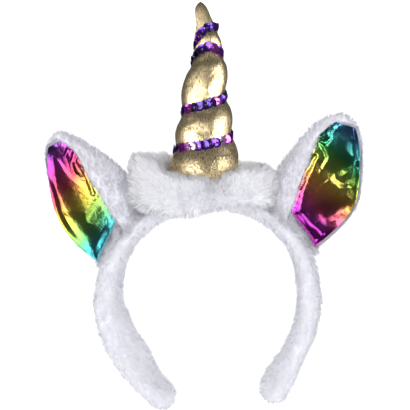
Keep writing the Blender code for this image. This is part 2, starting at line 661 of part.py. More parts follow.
WHITE_PLUSH = (0.90, 0.90, 0.93)
GOLD_FOIL = (0.80, 0.62, 0.30)
PURPLE_SEQUIN = (0.28, 0.04, 0.50)
LINING_COLOURS = {"right": (0.10, 0.55, 0.45), "left": (0.70, 0.30, 0.25)}

LAID_DOWN = bpy.data.objects.new("laid_down", None)
bpy.context.scene.collection.objects.link(LAID_DOWN)
turned = Euler((REST_TILT - math.pi / 2, 0, 0)).to_matrix()
LAID_DOWN.rotation_euler = turned.to_euler()
LAID_DOWN.location = -(turned @ Vector((0, REST_DEPTH, REST_HEIGHT)))

make_band("band", colour=WHITE_PLUSH)
make_horn("horn", colour=GOLD_FOIL)
make_sequin_string("sequin_string", PURPLE_SEQUIN)
band_space = mark_as_cutter(make_band("band_space", grow=CLEARANCE))
horn_space = mark_as_cutter(make_horn("horn_space", grow=CLEARANCE))
ruff_space = mark_as_cutter(make_ruff("ruff_space", grow=CLEARANCE))
make_ruff("ruff", cutters=(band_space, horn_space), colour=WHITE_PLUSH)
for side in EAR_PLACES:
    make_ear_back(side, (band_space, ruff_space), WHITE_PLUSH)
    make_ear_lining(side, (band_space,), LINING_COLOURS[side])
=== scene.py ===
# %% [markdown]
# # The looks of a unicorn horn headband
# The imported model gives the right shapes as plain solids. This script dresses each of them in what the real
# object is made of: white plush with its pile, gold lamé over stuffing, a string of sequins, and rainbow foil
# cloth in the ears. The model comes first, as the fixed frame that every piece is fitted to.

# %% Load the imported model
import math

import bmesh
import bpy
import numpy as np
from mathutils import Euler, Matrix, Vector
from mathutils.bvhtree import BVHTree
from mathutils.kdtree import KDTree


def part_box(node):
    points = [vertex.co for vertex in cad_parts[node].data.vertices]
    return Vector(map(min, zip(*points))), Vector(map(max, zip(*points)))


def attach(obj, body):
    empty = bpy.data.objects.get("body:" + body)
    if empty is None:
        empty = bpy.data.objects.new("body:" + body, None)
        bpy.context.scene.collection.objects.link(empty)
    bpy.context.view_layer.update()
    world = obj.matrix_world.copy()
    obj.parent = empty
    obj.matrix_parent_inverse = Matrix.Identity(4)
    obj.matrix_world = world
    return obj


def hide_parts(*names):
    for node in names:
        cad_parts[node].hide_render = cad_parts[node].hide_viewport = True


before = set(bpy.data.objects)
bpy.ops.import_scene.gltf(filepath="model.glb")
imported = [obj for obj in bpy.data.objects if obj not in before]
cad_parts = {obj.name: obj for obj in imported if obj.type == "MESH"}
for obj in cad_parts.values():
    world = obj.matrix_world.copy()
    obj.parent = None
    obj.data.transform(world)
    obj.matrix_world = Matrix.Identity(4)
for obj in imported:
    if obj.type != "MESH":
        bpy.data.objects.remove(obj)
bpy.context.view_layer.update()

MM = 0.001
for node in sorted(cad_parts):
    low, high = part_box(node)
    print(node, "measures", [round(size / MM, 1) for size in high - low], "mm")

# %% [markdown]
# ## From the worn headband to the one lying down
# A headband is easiest to think of as it is worn: X to the right of the front view, Y to the back and Z up,
# with the origin under the middle of the crown. The model lies on its back, so one turn and one shift take
# every point from the first frame to the second. These are the model's own values.

# %% Two frames and the way between them
REST_TILT = math.atan2(28.5 - 11.2, 16.0 + 133.5 - 12.0)
REST_POINT = Vector((0, 28.5, 16.0)) * MM
TURN = Euler((REST_TILT - math.pi / 2, 0, 0)).to_matrix()
TURN_ARRAY = np.array(TURN)
SHIFT = np.array(-(TURN @ REST_POINT))


def laid(points):
    """Points of the worn frame, moved to where they are on the headband as it lies."""
    return np.asarray(points) @ TURN_ARRAY.T + SHIFT


def laid_way(ways):
    """Directions of the worn frame, turned with the headband."""
    return np.asarray(ways) @ TURN_ARRAY.T


def worn(points):
    """Points of the lying headband, moved back to the worn frame."""
    return (np.asarray(points) - SHIFT) @ TURN_ARRAY


print("the crown's middle lies at", laid((0, 0, 0)).round(4), "and it leans", round(math.degrees(REST_TILT), 1))

# %% [markdown]
# ## The camera, the floor and the lamps
# The camera looks straight at the front of the headband from two metres away through a long lens, so that
# near and far parts keep their sizes. As the headband lies on its back, that is a look down from above. It is
# rolled a little, as the picture is. Plush only needs soft light from the front, but foil and lamé show what
# they mirror. So two bright lamps at the sides and a low one are there for mirrors alone. The dark gap between
# them gives foil and lamé their dark middles. Wide fills light the pile and are left out of the mirrors.

# %% Camera
VIEW_WIDTH = 292.7 * MM
VIEW_DISTANCE = 2.0
PICTURE_ROLL = math.radians(1.8)
LOOK_AT = (-1.5 * MM, 7.9 * MM)

look_x = LOOK_AT[0] * math.cos(PICTURE_ROLL) + LOOK_AT[1] * math.sin(PICTURE_ROLL)
look_z = LOOK_AT[1] * math.cos(PICTURE_ROLL) - LOOK_AT[0] * math.sin(PICTURE_ROLL)
camera_data = bpy.data.cameras.new("front_camera")
camera_data.sensor_width = 36
camera_data.lens = 36 * VIEW_DISTANCE / VIEW_WIDTH
camera = bpy.data.objects.new("front_camera", camera_data)
bpy.context.scene.collection.objects.link(camera)
facing = Vector((0, 1, 0)).to_track_quat("-Z", "Y").to_matrix() @ Matrix.Rotation(-PICTURE_ROLL, 3, "Z")
camera.rotation_euler = (TURN @ facing).to_euler()
camera.location = laid((look_x, -VIEW_DISTANCE, look_z))
bpy.context.scene.camera = camera
print("the lens is", round(camera_data.lens), "mm long")


# %% Floor and lamps
FLOOR_GLOW = 0.55


def mesh_from(bm, name):
    """A finished bmesh as a mesh."""
    mesh = bpy.data.meshes.new(name)
    bm.to_mesh(mesh)
    bm.free()
    return mesh


def floor_of(size, colour):
    """A plain square floor at Z = 0."""
    bm = bmesh.new()
    bmesh.ops.create_grid(bm, x_segments=1, y_segments=1, size=size / 2)
    mesh = mesh_from(bm, "floor")
    floor = bpy.data.objects.new("floor", mesh)
    bpy.context.scene.collection.objects.link(floor)
    paper = bpy.data.materials.new("white_paper")
    paper.use_nodes = True
    shader = paper.node_tree.nodes["Principled BSDF"]
    shader.inputs["Base Color"].default_value = (*colour, 1)
    shader.inputs["Roughness"].default_value = 0.9
    shader.inputs["Specular IOR Level"].default_value = 0.1
    shader.inputs["Emission Color"].default_value = (1, 1, 1, 1)
    shader.inputs["Emission Strength"].default_value = FLOOR_GLOW
    mesh.materials.append(paper)
    return floor


def soft_lamp(name, place, size, watts, mirrored):
    """A wide lamp at a place of the worn frame, aimed at the headband: only mirrored, or only lighting it."""
    lamp_data = bpy.data.lights.new(name, "AREA")
    lamp_data.shape = "RECTANGLE"
    lamp_data.size, lamp_data.size_y = size
    lamp_data.energy = watts
    lamp = bpy.data.objects.new(name, lamp_data)
    bpy.context.scene.collection.objects.link(lamp)
    place = Vector(place)
    lamp.rotation_euler = (TURN @ (-place).to_track_quat("-Z", "Y").to_matrix()).to_euler()
    lamp.location = laid(place)
    lamp.visible_glossy, lamp.visible_diffuse = mirrored, not mirrored


floor = floor_of(6.0, (0.96, 0.96, 0.97))
floor.visible_glossy = False
soft_lamp("left_mirror", (-0.95, -0.95, -0.24), (1.15, 1.05), 22.5, mirrored=True)
soft_lamp("right_mirror", (1.20, -0.65, -0.22), (0.85, 1.05), 20.5, mirrored=True)
soft_lamp("low_mirror", (-0.32, -0.95, -0.80), (1.05, 0.45), 7, mirrored=True)
soft_lamp("front_fill", (0.0, -1.50, 0.30), (1.80, 1.60), 16.6, mirrored=False)
for side_name, side in (("left", -1), ("right", 1)):
    soft_lamp(f"{side_name}_fill", (side * 1.20, -0.60, 0.0), (1.00, 1.20), 4.5, mirrored=False)
soft_lamp("upper_fill", (0.0, -0.80, 1.30), (1.60, 0.60), 6, mirrored=False)
soft_lamp("lower_fill", (0.0, -1.10, -1.10), (1.60, 0.80), 15, mirrored=False)
room = bpy.data.worlds.new("pale_room")
room.use_nodes = True
room.node_tree.nodes["Background"].inputs["Color"].default_value = (0.93, 0.94, 1.0, 1)
room.node_tree.nodes["Background"].inputs["Strength"].default_value = 0.11
bpy.context.scene.world = room
bpy.context.scene.view_settings.view_transform = "Standard"

# %% [markdown]
# ## Helpers for soft skins
# Each plush part starts as a skin: the padded shape under the pile. It is a copy of the model's solid, whose
# loose triangles are joined first, remade as an even net of small squares, and drawn in by the length of the
# pile, so that the tips of the pile end where the solid does.


# %% Skins
def linked(name, mesh):
    """An object for a mesh, smooth shaded, in the scene."""
    mesh.shade_smooth()
    piece = bpy.data.objects.new(name, mesh)
    bpy.context.scene.collection.objects.link(piece)
    return piece


def copy_of(nodes, name):
    """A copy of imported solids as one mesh, with their loose triangles joined."""
    bm = bmesh.new()
    for node in nodes:
        bm.from_mesh(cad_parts[node].data)
    bmesh.ops.remove_doubles(bm, verts=bm.verts, dist=0.01 * MM)
    return linked(name, mesh_from(bm, name))


def settle_modifiers(piece):
    """Makes a piece's modifiers part of its mesh."""
    finished = piece.evaluated_get(bpy.context.evaluated_depsgraph_get())
    mesh = bpy.data.meshes.new_from_object(finished)
    piece.modifiers.clear()
    piece.data = mesh
    mesh.name = piece.name
    mesh.shade_smooth()


def points_of(mesh):
    """A mesh's vertices as rows of an array."""
    flat = np.empty(len(mesh.vertices) * 3)
    mesh.vertices.foreach_get("co", flat)
    return flat.reshape(-1, 3)


def normals_of(mesh):
    """A mesh's vertex normals as rows of an array."""
    flat = np.empty(len(mesh.vertices) * 3)
    mesh.vertex_normals.foreach_get("vector", flat)
    return flat.reshape(-1, 3)


def corners_of(mesh):
    """The vertex number at each corner of a mesh's faces."""
    corners = np.empty(len(mesh.loops), np.int32)
    mesh.loops.foreach_get("vertex_index", corners)
    return corners


def move_points(mesh, points):
    """Puts a mesh's vertices at new points."""
    mesh.vertices.foreach_set("co", np.asarray(points).ravel())
    mesh.update()


def even_net(piece, voxel):
    """Remakes a piece as an even net of small squares, with parts that meet made one."""
    remesh = piece.modifiers.new("even_net", "REMESH")
    remesh.mode = "VOXEL"
    remesh.voxel_size = voxel
    settle_modifiers(piece)


def skin_of(nodes, name, voxel, drawn_in, rounds, fillet=0.0):
    """The shape of some nodes as an even net: creases filled, drawn in for the pile, and smoothed."""
    piece = copy_of(nodes, name)
    even_net(piece, voxel)
    if fillet:
        move_points(piece.data, points_of(piece.data) + normals_of(piece.data) * fillet)
        even_net(piece, voxel)
    move_points(piece.data, points_of(piece.data) - normals_of(piece.data) * (drawn_in + fillet))
    soften = piece.modifiers.new("soft_corners", "SMOOTH")
    soften.factor, soften.iterations = 0.5, rounds
    settle_modifiers(piece)
    piece.data.materials.clear()
    print(name, "has", len(piece.data.polygons), "faces")
    return piece


def finish_piece(piece, slot, material, *replaced):
    """Gives a piece its material and its place in the model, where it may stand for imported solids."""
    piece.data.materials.append(material)
    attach(piece, "root")
    if replaced:
        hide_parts(*replaced)


# %% [markdown]
# ## Helpers for pile
# Plush is a knitted cloth with a standing pile: thousands of soft hairs that part, lean together and gather
# into small locks. One blade stands for a few hairs. It is a strip of three faces that ends in a point, made
# once, and set on thousands of scattered roots as one joined mesh. Each blade leans the way that the pile is
# combed, bends, and is drawn to the middle of its lock, which gives the shaggy look that noise alone can't.


# %% One blade
def blade_pattern(steps):
    """A flat strip ending in a point: each vertex's share across and along, and the corners of its faces."""
    bm = bmesh.new()
    bmesh.ops.create_grid(bm, x_segments=1, y_segments=steps, size=0.5)
    tip = [vertex for vertex in bm.verts if vertex.co.y > 0.49]
    bmesh.ops.pointmerge(bm, verts=tip, merge_co=(0, 0.5, 0))
    bm.verts.index_update()
    across = np.array([vertex.co.x for vertex in bm.verts])
    along = np.array([vertex.co.y + 0.5 for vertex in bm.verts])
    faces = [[vertex.index for vertex in face.verts] for face in bm.faces]
    bm.free()
    return across, along, faces


BLADE = blade_pattern(3)
LONG_BLADE = blade_pattern(4)
print("a blade has", len(BLADE[2]), "faces and a long one", len(LONG_BLADE[2]))


# %% Roots and locks
def unit(ways):
    """Directions made one long."""
    return ways / np.maximum(np.linalg.norm(ways, axis=-1, keepdims=True), 1e-9)


def scattered(skin, count, chance):
    """Random roots all over a skin, with the way that the skin faces at each."""
    mesh = skin.data
    mesh.calc_loop_triangles()
    corners = np.empty(len(mesh.loop_triangles) * 3, np.int32)
    mesh.loop_triangles.foreach_get("vertices", corners)
    corners = corners.reshape(-1, 3)
    points, normals = points_of(mesh), normals_of(mesh)
    a, b, c = (points[corners[:, corner]] for corner in range(3))
    areas = np.linalg.norm(np.cross(b - a, c - a), axis=1)
    picked = chance.choice(len(areas), size=count, p=areas / areas.sum())
    shares = chance.dirichlet((1, 1, 1), count)[..., None]
    roots = (points[corners[picked]] * shares).sum(axis=1)
    return roots, unit((normals[corners[picked]] * shares).sum(axis=1))


def lock_of_each(roots, spacing, chance):
    """The number of the root that is the middle of each root's lock."""
    middles = chance.permutation(len(roots))[: max(int(len(roots) * spacing), 1)]
    tree = KDTree(len(middles))
    for middle in middles:
        tree.insert(roots[middle], int(middle))
    tree.balance()
    return np.array([tree.find(root)[1] for root in roots])


# %% The joined mesh of a pile
def grow_pile(name, roots, faces_out, ways, lengths, bends, width, pattern, chance, gather, locks):
    """Blades on the roots as one mesh, with how far along each vertex is and each blade's own tone."""
    across, along, faces = pattern
    tips = roots + ways * lengths[:, None] + bends
    tips += gather * (tips[locks] - tips)
    bends = bends + gather * 0.3 * (bends[locks] - bends)
    straight = tips - bends - roots
    side = np.cross(unit(straight), faces_out) + 0.45 * unit(chance.normal(size=roots.shape))
    side = unit(side - unit(straight) * (side * unit(straight)).sum(axis=1, keepdims=True))
    flipped = (np.cross(side, straight) * faces_out).sum(axis=1) < 0
    side[flipped] *= -1
    taper = (0.75 + 0.5 * along) * np.sqrt(1 - along)
    offset = (across * taper)[None, :, None] * side[:, None, :] * width
    spine = (roots[:, None, :] + along[None, :, None] * straight[:, None, :]
             + (along**2)[None, :, None] * bends[:, None, :])
    points = (spine + offset).reshape(-1, 3)
    points[:, 2] = np.maximum(points[:, 2], 0.25 * MM)
    corners_each = [corner for face in faces for corner in face]
    starts_each = np.cumsum([0] + [len(face) for face in faces])[:-1]
    blades = np.arange(len(roots))[:, None]
    corners = (np.array(corners_each)[None, :] + blades * len(along)).ravel()
    starts = (starts_each[None, :] + blades * len(corners_each)).ravel()
    mesh = bpy.data.meshes.new(name)
    mesh.vertices.add(len(points))
    mesh.vertices.foreach_set("co", points.ravel())
    mesh.loops.add(len(corners))
    mesh.loops.foreach_set("vertex_index", corners.astype(np.int32))
    mesh.polygons.add(len(starts))
    mesh.polygons.foreach_set("loop_start", starts.astype(np.int32))
    mesh.update(calc_edges=True)
    piece = linked(name, mesh)
    height = mesh.attributes.new("height", "FLOAT", "POINT")
    height.data.foreach_set("value", np.tile(along, len(roots)))
    tone = mesh.attributes.new("tone", "FLOAT", "POINT")
    tone.data.foreach_set("value", np.repeat(chance.random(len(roots)), len(along)))
    own = unit(np.cross(side, straight))
    soft = unit(0.58 * faces_out + 0.42 * own)
    mesh.normals_split_custom_set_from_vertices(np.repeat(soft, len(along), axis=0).tolist())
    print(name, "has", len(roots), "blades and", len(mesh.loops) - 2 * len(mesh.polygons), "triangles")
    return piece


# %% [markdown]
# ## The plush material
# White pile is brightest at its tips and a cool grey between the locks, where less light gets in. That grey is
# painted shade: the blade's own height gives that change, a tone of its own keeps neighbours apart, and a slow
# cloud over the whole headband adds the faint lavender patches of real plush. The skin under it is the same
# cloth with painted shade, and the band's and the ears' piles are darker copies of the white one, with more
# painted shade.


# %% White plush
def fill_in(tree, node, **values):
    """Sets a node's settings and inputs, where another node's output is joined to the input."""
    for name, value in values.items():
        socket = node.inputs.get(name.replace("_", " "))
        if socket is None:
            setattr(node, name, value)
        elif isinstance(value, bpy.types.NodeSocket):
            tree.links.new(value, socket)
        else:
            socket.default_value = value
    return node


def node_of(tree, kind, **values):
    """A new shader node, filled in."""
    return fill_in(tree, tree.nodes.new(kind), **values)


def scaled_sum(tree, signal, factor, added):
    """A signal times a factor, plus another signal or a number."""
    node = node_of(tree, "ShaderNodeMath", operation="MULTIPLY_ADD")
    tree.links.new(signal, node.inputs[0])
    node.inputs[1].default_value = factor
    if isinstance(added, bpy.types.NodeSocket):
        tree.links.new(added, node.inputs[2])
    else:
        node.inputs[2].default_value = added
    return node.outputs[0]


def ramp_of(tree, signal, stops):
    """The colour that a signal picks from a ramp through (place, colour) stops."""
    ramp = node_of(tree, "ShaderNodeValToRGB", Fac=signal)
    elements = ramp.color_ramp.elements
    while len(elements) < len(stops):
        elements.new(0.5)
    for element, (place, colour) in zip(elements, stops):
        element.position = place
        element.color = (*colour, 1)
    return ramp.outputs["Color"]


def kept(tree, attribute):
    """A number that the mesh keeps for each of its points."""
    return node_of(tree, "ShaderNodeAttribute", attribute_name=attribute).outputs["Fac"]


def plain_material(name, **sockets):
    """A material with its shader's own sockets set, its node tree and its shader."""
    material = bpy.data.materials.new(name)
    material.use_nodes = True
    tree = material.node_tree
    return material, tree, fill_in(tree, tree.nodes["Principled BSDF"], **sockets)


def plush_material(name, root_colour, tip_colour, cloud_colour):
    """Pile with painted shade that is darker at its roots, with a tone for each blade and slow clouds over the
    whole.
    """
    material, tree, shader = plain_material(name, Roughness=0.85, Sheen_Weight=0.35, Sheen_Roughness=0.5,
                                            Specular_IOR_Level=0.15)
    lit = scaled_sum(tree, kept(tree, "tone"), 0.35, kept(tree, "height"))
    place = node_of(tree, "ShaderNodeTexCoord").outputs["Object"]
    cloud = node_of(tree, "ShaderNodeTexNoise", Vector=place, Scale=70.0, Detail=3.0).outputs["Fac"]
    soft_cloud = node_of(tree, "ShaderNodeMapRange", Value=cloud, From_Min=0.42, From_Max=0.72, To_Max=0.5)
    mix = node_of(tree, "ShaderNodeMix", data_type="RGBA", Factor=soft_cloud.outputs["Result"])
    tree.links.new(ramp_of(tree, lit, ((0.05, root_colour), (0.55, tip_colour), (1.0, tip_colour))), mix.inputs[6])
    mix.inputs[7].default_value = (*cloud_colour, 1)
    fill_in(tree, shader, Base_Color=mix.outputs[2])
    return material


WHITE_PILE = plush_material("white_pile", (0.78, 0.78, 0.85), (0.97, 0.97, 0.98), (0.88, 0.88, 0.94))
# The band's pile is a darker copy of the white pile: painted shade over the arms and the crown.
SHADED_BAND_PILE = plush_material("band_pile", (0.60, 0.60, 0.68), (0.85, 0.85, 0.88), (0.76, 0.76, 0.83))
# The ears' and the seams' pile is a darker copy again: deeper painted shade.
DEEP_SHADE_PILE = plush_material("deep_shade_pile", (0.42, 0.41, 0.48), (0.67, 0.66, 0.70), (0.56, 0.55, 0.61))


def cloth_under_pile(name, colour, shade):
    """The knitted ground of the plush, with painted shade mottled over it by noise, as the pile would shade it."""
    material, tree, shader = plain_material(name, Roughness=0.95)
    place = node_of(tree, "ShaderNodeTexCoord").outputs["Object"]
    mottle = node_of(tree, "ShaderNodeTexNoise", Vector=place, Scale=420.0, Detail=4.0).outputs["Fac"]
    bump = node_of(tree, "ShaderNodeBump", Height=mottle, Strength=0.5, Distance=0.4 * MM)
    fill_in(tree, shader, Base_Color=ramp_of(tree, mottle, ((0.3, shade), (0.7, colour))),
            Normal=bump.outputs["Normal"])
    return material


# The ground is the white cloth darkened by painted shade.
PAINTED_SHADE_GROUND = cloth_under_pile("painted_shade_ground", (0.84, 0.84, 0.89), (0.72, 0.72, 0.80))

# %% [markdown]
# ## The sleeve
# The band is a springy hoop in a padded sleeve of short plush, and the backs of the ears are cups of the same
# plush, sewn into it. Pile hides the seams, so to the eye band and ears are one furry body. That is how the
# skin is made: band, ear backs and linings are joined, the sharp creases between them are filled by growing the
# whole, remaking it and drawing it back. Then room is made under the linings, the padding is squashed thin on
# the inside of the arc, and slow lumps are added as the stuffing gives.

# %% Sleeve skin
SLEEVE_PILE = 0.8 * MM
SLEEVE_NODES = ("band", "ear_back_left", "ear_back_right")
LINING_NODES = ("ear_lining_left", "ear_lining_right")
LUMP_HEIGHT = 0.5 * MM
ARC_CENTRE = np.array((0.0, 0.0, -57.0)) * MM


def surface_of(piece):
    """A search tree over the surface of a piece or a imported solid."""
    return BVHTree.FromPolygons([vertex.co[:] for vertex in piece.data.vertices],
                                [polygon.vertices[:] for polygon in piece.data.polygons])


def close_to(surface, points, reach):
    """True for each point that lies within reach of a surface."""
    return np.array([surface.find_nearest(Vector(point), reach)[0] is not None for point in points])


def lumpy(piece, height, sizes):
    """Gives a soft piece the slow unevenness of its stuffing."""
    points, normals = points_of(piece.data), normals_of(piece.data)
    wave = np.zeros(len(points))
    for number, size in enumerate(sizes):
        heading = np.array((1.0, 0.7 + 0.5 * number, -0.6 + 0.8 * number))
        wave += np.sin(points @ heading / (size * MM) + number) * np.cos(points @ heading[::-1] / (size * MM))
    move_points(piece.data, points + normals * (height * wave / len(sizes))[:, None])


def eased_step(values, start, end):
    """0 before start, 1 after end, and smooth between them."""
    share = np.clip((values - start) / (end - start), 0, 1)
    return share * share * (3 - 2 * share)


# The padding is squashed thin on the inside of the arc by this many millimetres, angle by angle from the right.
INNER_TUCK = ((-60, -2.5), (-40, -0.5), (0, 0.0), (20, 2.1), (30, 4.2), (40, 4.8), (70, 5.0), (80, 4.2), (90, 2.6),
              (105, 3.2), (130, 4.2), (140, 4.4), (150, 3.0), (165, 1.9), (180, 0.8), (190, -2.6), (205, -2.9),
              (220, -3.2), (232, -0.6), (260, 0.0))
OUTER_SWELL = ((155, 0.0), (170, 1.6), (180, 2.4), (192, 1.2), (215, 0.6), (230, 0.0))


def tucked_inside(piece):
    """Moves the inside and the outside of the arc in or out, with nothing moved between them."""
    places = worn(points_of(piece.data))
    offsets = (places - ARC_CENTRE)[:, [0, 2]]
    reach = np.linalg.norm(offsets, axis=1)
    angle = np.degrees(np.arctan2(offsets[:, 1], offsets[:, 0]))
    angle = np.where(angle < -90, angle + 360, angle)
    inner = np.interp(angle, *np.array(INNER_TUCK).T) * (1 - eased_step(reach, 62 * MM, 78 * MM))
    outer = np.interp(angle, *np.array(OUTER_SWELL).T) * eased_step(reach, 66 * MM, 78 * MM)
    places[:, [0, 2]] += offsets / reach[:, None] * ((inner + outer) * MM)[:, None]
    move_points(piece.data, laid(places))


def pressed_under(piece, surfaces, depth):
    """Leaves room under the linings, where the cup of each ear is hollow."""
    points, normals = points_of(piece.data), normals_of(piece.data)
    under = np.zeros(len(points), bool)
    for surface in surfaces:
        under |= close_to(surface, points, 2.5 * MM)
    under &= normals @ laid_way((0, -1, 0)) > 0.3
    points[under] -= laid_way((0, -1, 0)) * depth
    move_points(piece.data, points)


lining_surfaces = [surface_of(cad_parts[node]) for node in LINING_NODES]
sleeve = skin_of(SLEEVE_NODES + LINING_NODES, "plush_sleeve", voxel=1.8 * MM, drawn_in=SLEEVE_PILE, rounds=4,
                 fillet=3.5 * MM)
pressed_under(sleeve, lining_surfaces, depth=2.6 * MM)
tucked_inside(sleeve)
lumpy(sleeve, LUMP_HEIGHT, (3.1, 5.3, 8.7))
finish_piece(sleeve, "band_plush", PAINTED_SHADE_GROUND, *SLEEVE_NODES)


# %% Where blades may stand
def clear_of(surfaces, roots, ways, lengths, near=0.0):
    """True for each blade that stays clear of the surfaces from root to tip."""
    keep = np.ones(len(roots), bool)
    for number, (root, way, length) in enumerate(zip(roots, ways, lengths)):
        start, heading = Vector(root), Vector(way)
        for surface in surfaces:
            if surface.ray_cast(start, heading, length)[0] is not None:
                keep[number] = False
            elif near and surface.find_nearest(start, near)[0] is not None:
                keep[number] = False
    return keep


# %% How the pile is combed
def down_the_arms(roots):
    """The way along the band from its crown towards its tips, at each root."""
    places = worn(roots) - ARC_CENTRE
    side = np.sign(places[:, 0])
    level = np.clip(places[:, 2], 0, None)
    inward = 0.45 * np.clip(-places[:, 2] / (60 * MM), 0, 1) + 0.2 * np.clip(-places[:, 2] / (20 * MM), 0, 1)
    on_arc = np.stack([side * level, np.zeros(len(roots)), -np.abs(places[:, 0])], axis=1)
    below = np.stack([-side * inward, np.zeros(len(roots)), -np.ones(len(roots))], axis=1)
    return laid_way(unit(np.where((places[:, 2] > 0)[:, None], unit(on_arc), below)))


def towards_the_tip(roots):
    """Up the ears and outwards."""
    side = np.sign(worn(roots)[:, 0])
    return laid_way(np.stack([0.45 * side, np.zeros(len(roots)), np.full(len(roots), 0.9)], axis=1))


def every_way(roots):
    """No way in particular: the pile over a seam, which the needle has stirred up."""
    return unit(np.random.default_rng(3).normal(size=roots.shape))


# %% A pile on a skin
def pile_on(name, skin, count, length, lean, jitter, curl, gather, lock_share, width, comb, avoid, seed,
            near=0.0, pattern=BLADE, droop=0.0, region=None):
    """Grows a pile on a skin: combed along comb, scattered by jitter, curled, and gathered into locks."""
    chance = np.random.default_rng(seed)
    roots, out = scattered(skin, count, chance)
    if region is not None:
        inside = region(roots)
        roots, out = roots[inside], out[inside]
    combed = comb(roots)
    combed = combed - out * (combed * out).sum(axis=1, keepdims=True)
    ways = unit(out + lean * combed + jitter * chance.normal(size=roots.shape))
    facing_in = (ways * out).sum(axis=1) < 0.15
    ways[facing_in] = unit(ways[facing_in] + out[facing_in])
    lengths = length * (0.6 + 0.6 * chance.random(len(roots)))
    keep = clear_of(avoid, roots, ways, lengths * 0.9, near)
    roots, out, ways, lengths, combed = roots[keep], out[keep], ways[keep], lengths[keep], combed[keep]
    locks = lock_of_each(roots, lock_share, chance)
    bends = unit(chance.normal(size=roots.shape)) * lengths[:, None] * curl
    bends = bends + combed * lengths[:, None] * droop
    roots = roots - out * 0.2 * MM
    return grow_pile(name, roots, out, ways, lengths, bends, width, pattern, chance, gather, locks)


# %% Piles of the band and the ears
PILE_DENSITY = 1.0
EAR_REACH = 3.0 * MM
band_surface, ruff_surface = (surface_of(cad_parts[node]) for node in ("band", "ruff"))
ear_surfaces = {side: surface_of(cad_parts[f"ear_back_{side}"]) for side in ("left", "right")}


def on_an_ear(roots):
    """True for each root on the back of either ear."""
    return close_to(ear_surfaces["left"], roots, EAR_REACH) | close_to(ear_surfaces["right"], roots, EAR_REACH)


def on_the_band(roots):
    """True for each root that is not on the back of an ear."""
    return ~on_an_ear(roots)


def on_a_seam(roots):
    """True for each root in the crease between an ear and the band."""
    at_the_foot = close_to(lining_surfaces[0], roots, 4 * MM) | close_to(lining_surfaces[1], roots, 4 * MM)
    return (on_an_ear(roots) | at_the_foot) & close_to(band_surface, roots, 6.5 * MM)


for seed, layer in enumerate(("under", "upper")):
    band_pile = pile_on(
        f"band_pile_{layer}", sleeve, int(50000 * PILE_DENSITY), length=(2.6 + 1.0 * seed) * MM,
        lean=0.6 + 0.2 * seed, jitter=0.32, curl=0.22, gather=0.25 + 0.2 * seed, lock_share=0.14 - 0.09 * seed,
        width=0.32 * MM, comb=down_the_arms, avoid=[ruff_surface], seed=11 + seed, droop=0.12,
        region=on_the_band,
    )
    finish_piece(band_pile, "band_plush", SHADED_BAND_PILE)
stray_hairs = pile_on(
    "stray_hairs", sleeve, int(7000 * PILE_DENSITY), length=5.0 * MM, lean=0.5, jitter=0.5, curl=0.35, gather=0.45,
    lock_share=0.10, width=0.26 * MM, comb=down_the_arms, avoid=lining_surfaces + [ruff_surface], seed=51,
    near=1.1 * MM,
)
finish_piece(stray_hairs, "band_plush", SHADED_BAND_PILE)
for seed, side in enumerate(("left", "right")):
    ear_pile = pile_on(
        f"ear_pile_{side}", sleeve, int(60000 * PILE_DENSITY), length=3.2 * MM, lean=0.7, jitter=0.32,
        curl=0.22, gather=0.35, lock_share=0.06, width=0.32 * MM, comb=towards_the_tip, avoid=lining_surfaces,
        seed=31 + seed, near=1.1 * MM, droop=0.12,
        region=lambda roots, side=side: close_to(ear_surfaces[side], roots, EAR_REACH),
    )
    finish_piece(ear_pile, "ear_plush", DEEP_SHADE_PILE)
seam_pile = pile_on(
    "seam_pile", sleeve, int(60000 * PILE_DENSITY), length=5.0 * MM, lean=0.6, jitter=0.4, curl=0.3, gather=0.35,
    lock_share=0.03, width=0.32 * MM, comb=every_way, avoid=lining_surfaces + [ruff_surface], seed=41,
    near=1.1 * MM, region=on_a_seam,
)
finish_piece(seam_pile, "ear_plush", DEEP_SHADE_PILE)

# %% [markdown]
# ## The ruff
# The ruff is a ring of long-haired plush that hides where the horn is sewn on. Its hairs are twice as long
# as the band's, curl at random, and gather into locks that stand up and outwards like a ruffled collar. Its
# front is pressed down before the horn, so that the foot of the horn shows.

# %% Ruff
RUFF_PILE = 2.6 * MM
RUFF_MIDDLE = 12 * MM
FRONT_TOP = 25.0 * MM
FRONT_WIDTH = 31.0 * MM


def lower_the_front(piece):
    """Presses the ruff down in front of the horn, less and less towards its two ends."""
    places = worn(points_of(piece.data))
    from_middle = np.abs(places[:, 0] + 3 * MM) / FRONT_WIDTH
    limit = FRONT_TOP + 5 * MM * from_middle**2 + 30 * MM * np.clip(from_middle - 0.85, 0, None) * 2
    over = np.clip(places[:, 2] - limit, 0, None) * (places[:, 1] < 4 * MM)
    places[:, 2] -= 0.85 * over
    shoulder = eased_step(-places[:, 0], 36 * MM, 50 * MM) * eased_step(places[:, 2], 14 * MM, 28 * MM)
    places[:, 2] += 4 * MM * shoulder
    valley = np.exp(-((places[:, 0] - 8 * MM) / (7 * MM)) ** 2 - ((places[:, 2] - 22 * MM) / (6 * MM)) ** 2)
    places[:, 1] += 3.5 * MM * valley * (places[:, 1] < 4 * MM)
    move_points(piece.data, laid(places))


ruff_skin = skin_of(("ruff",), "ruff_ring", voxel=2.2 * MM, drawn_in=RUFF_PILE, rounds=4)
lower_the_front(ruff_skin)
tucked_inside(ruff_skin)
finish_piece(ruff_skin, "ruff_plush", PAINTED_SHADE_GROUND, "ruff")


def brushed_apart(roots):
    """Out to both ends, upwards in the upper half and down over the band in the lower one."""
    places = worn(roots)
    aside = np.tanh(places[:, 0] / (30 * MM))
    rise = np.clip((places[:, 2] - RUFF_MIDDLE) / (10 * MM), -1, 1)
    return laid_way(np.stack([0.8 * aside, places[:, 1] / (40 * MM), 0.8 * rise], axis=1))


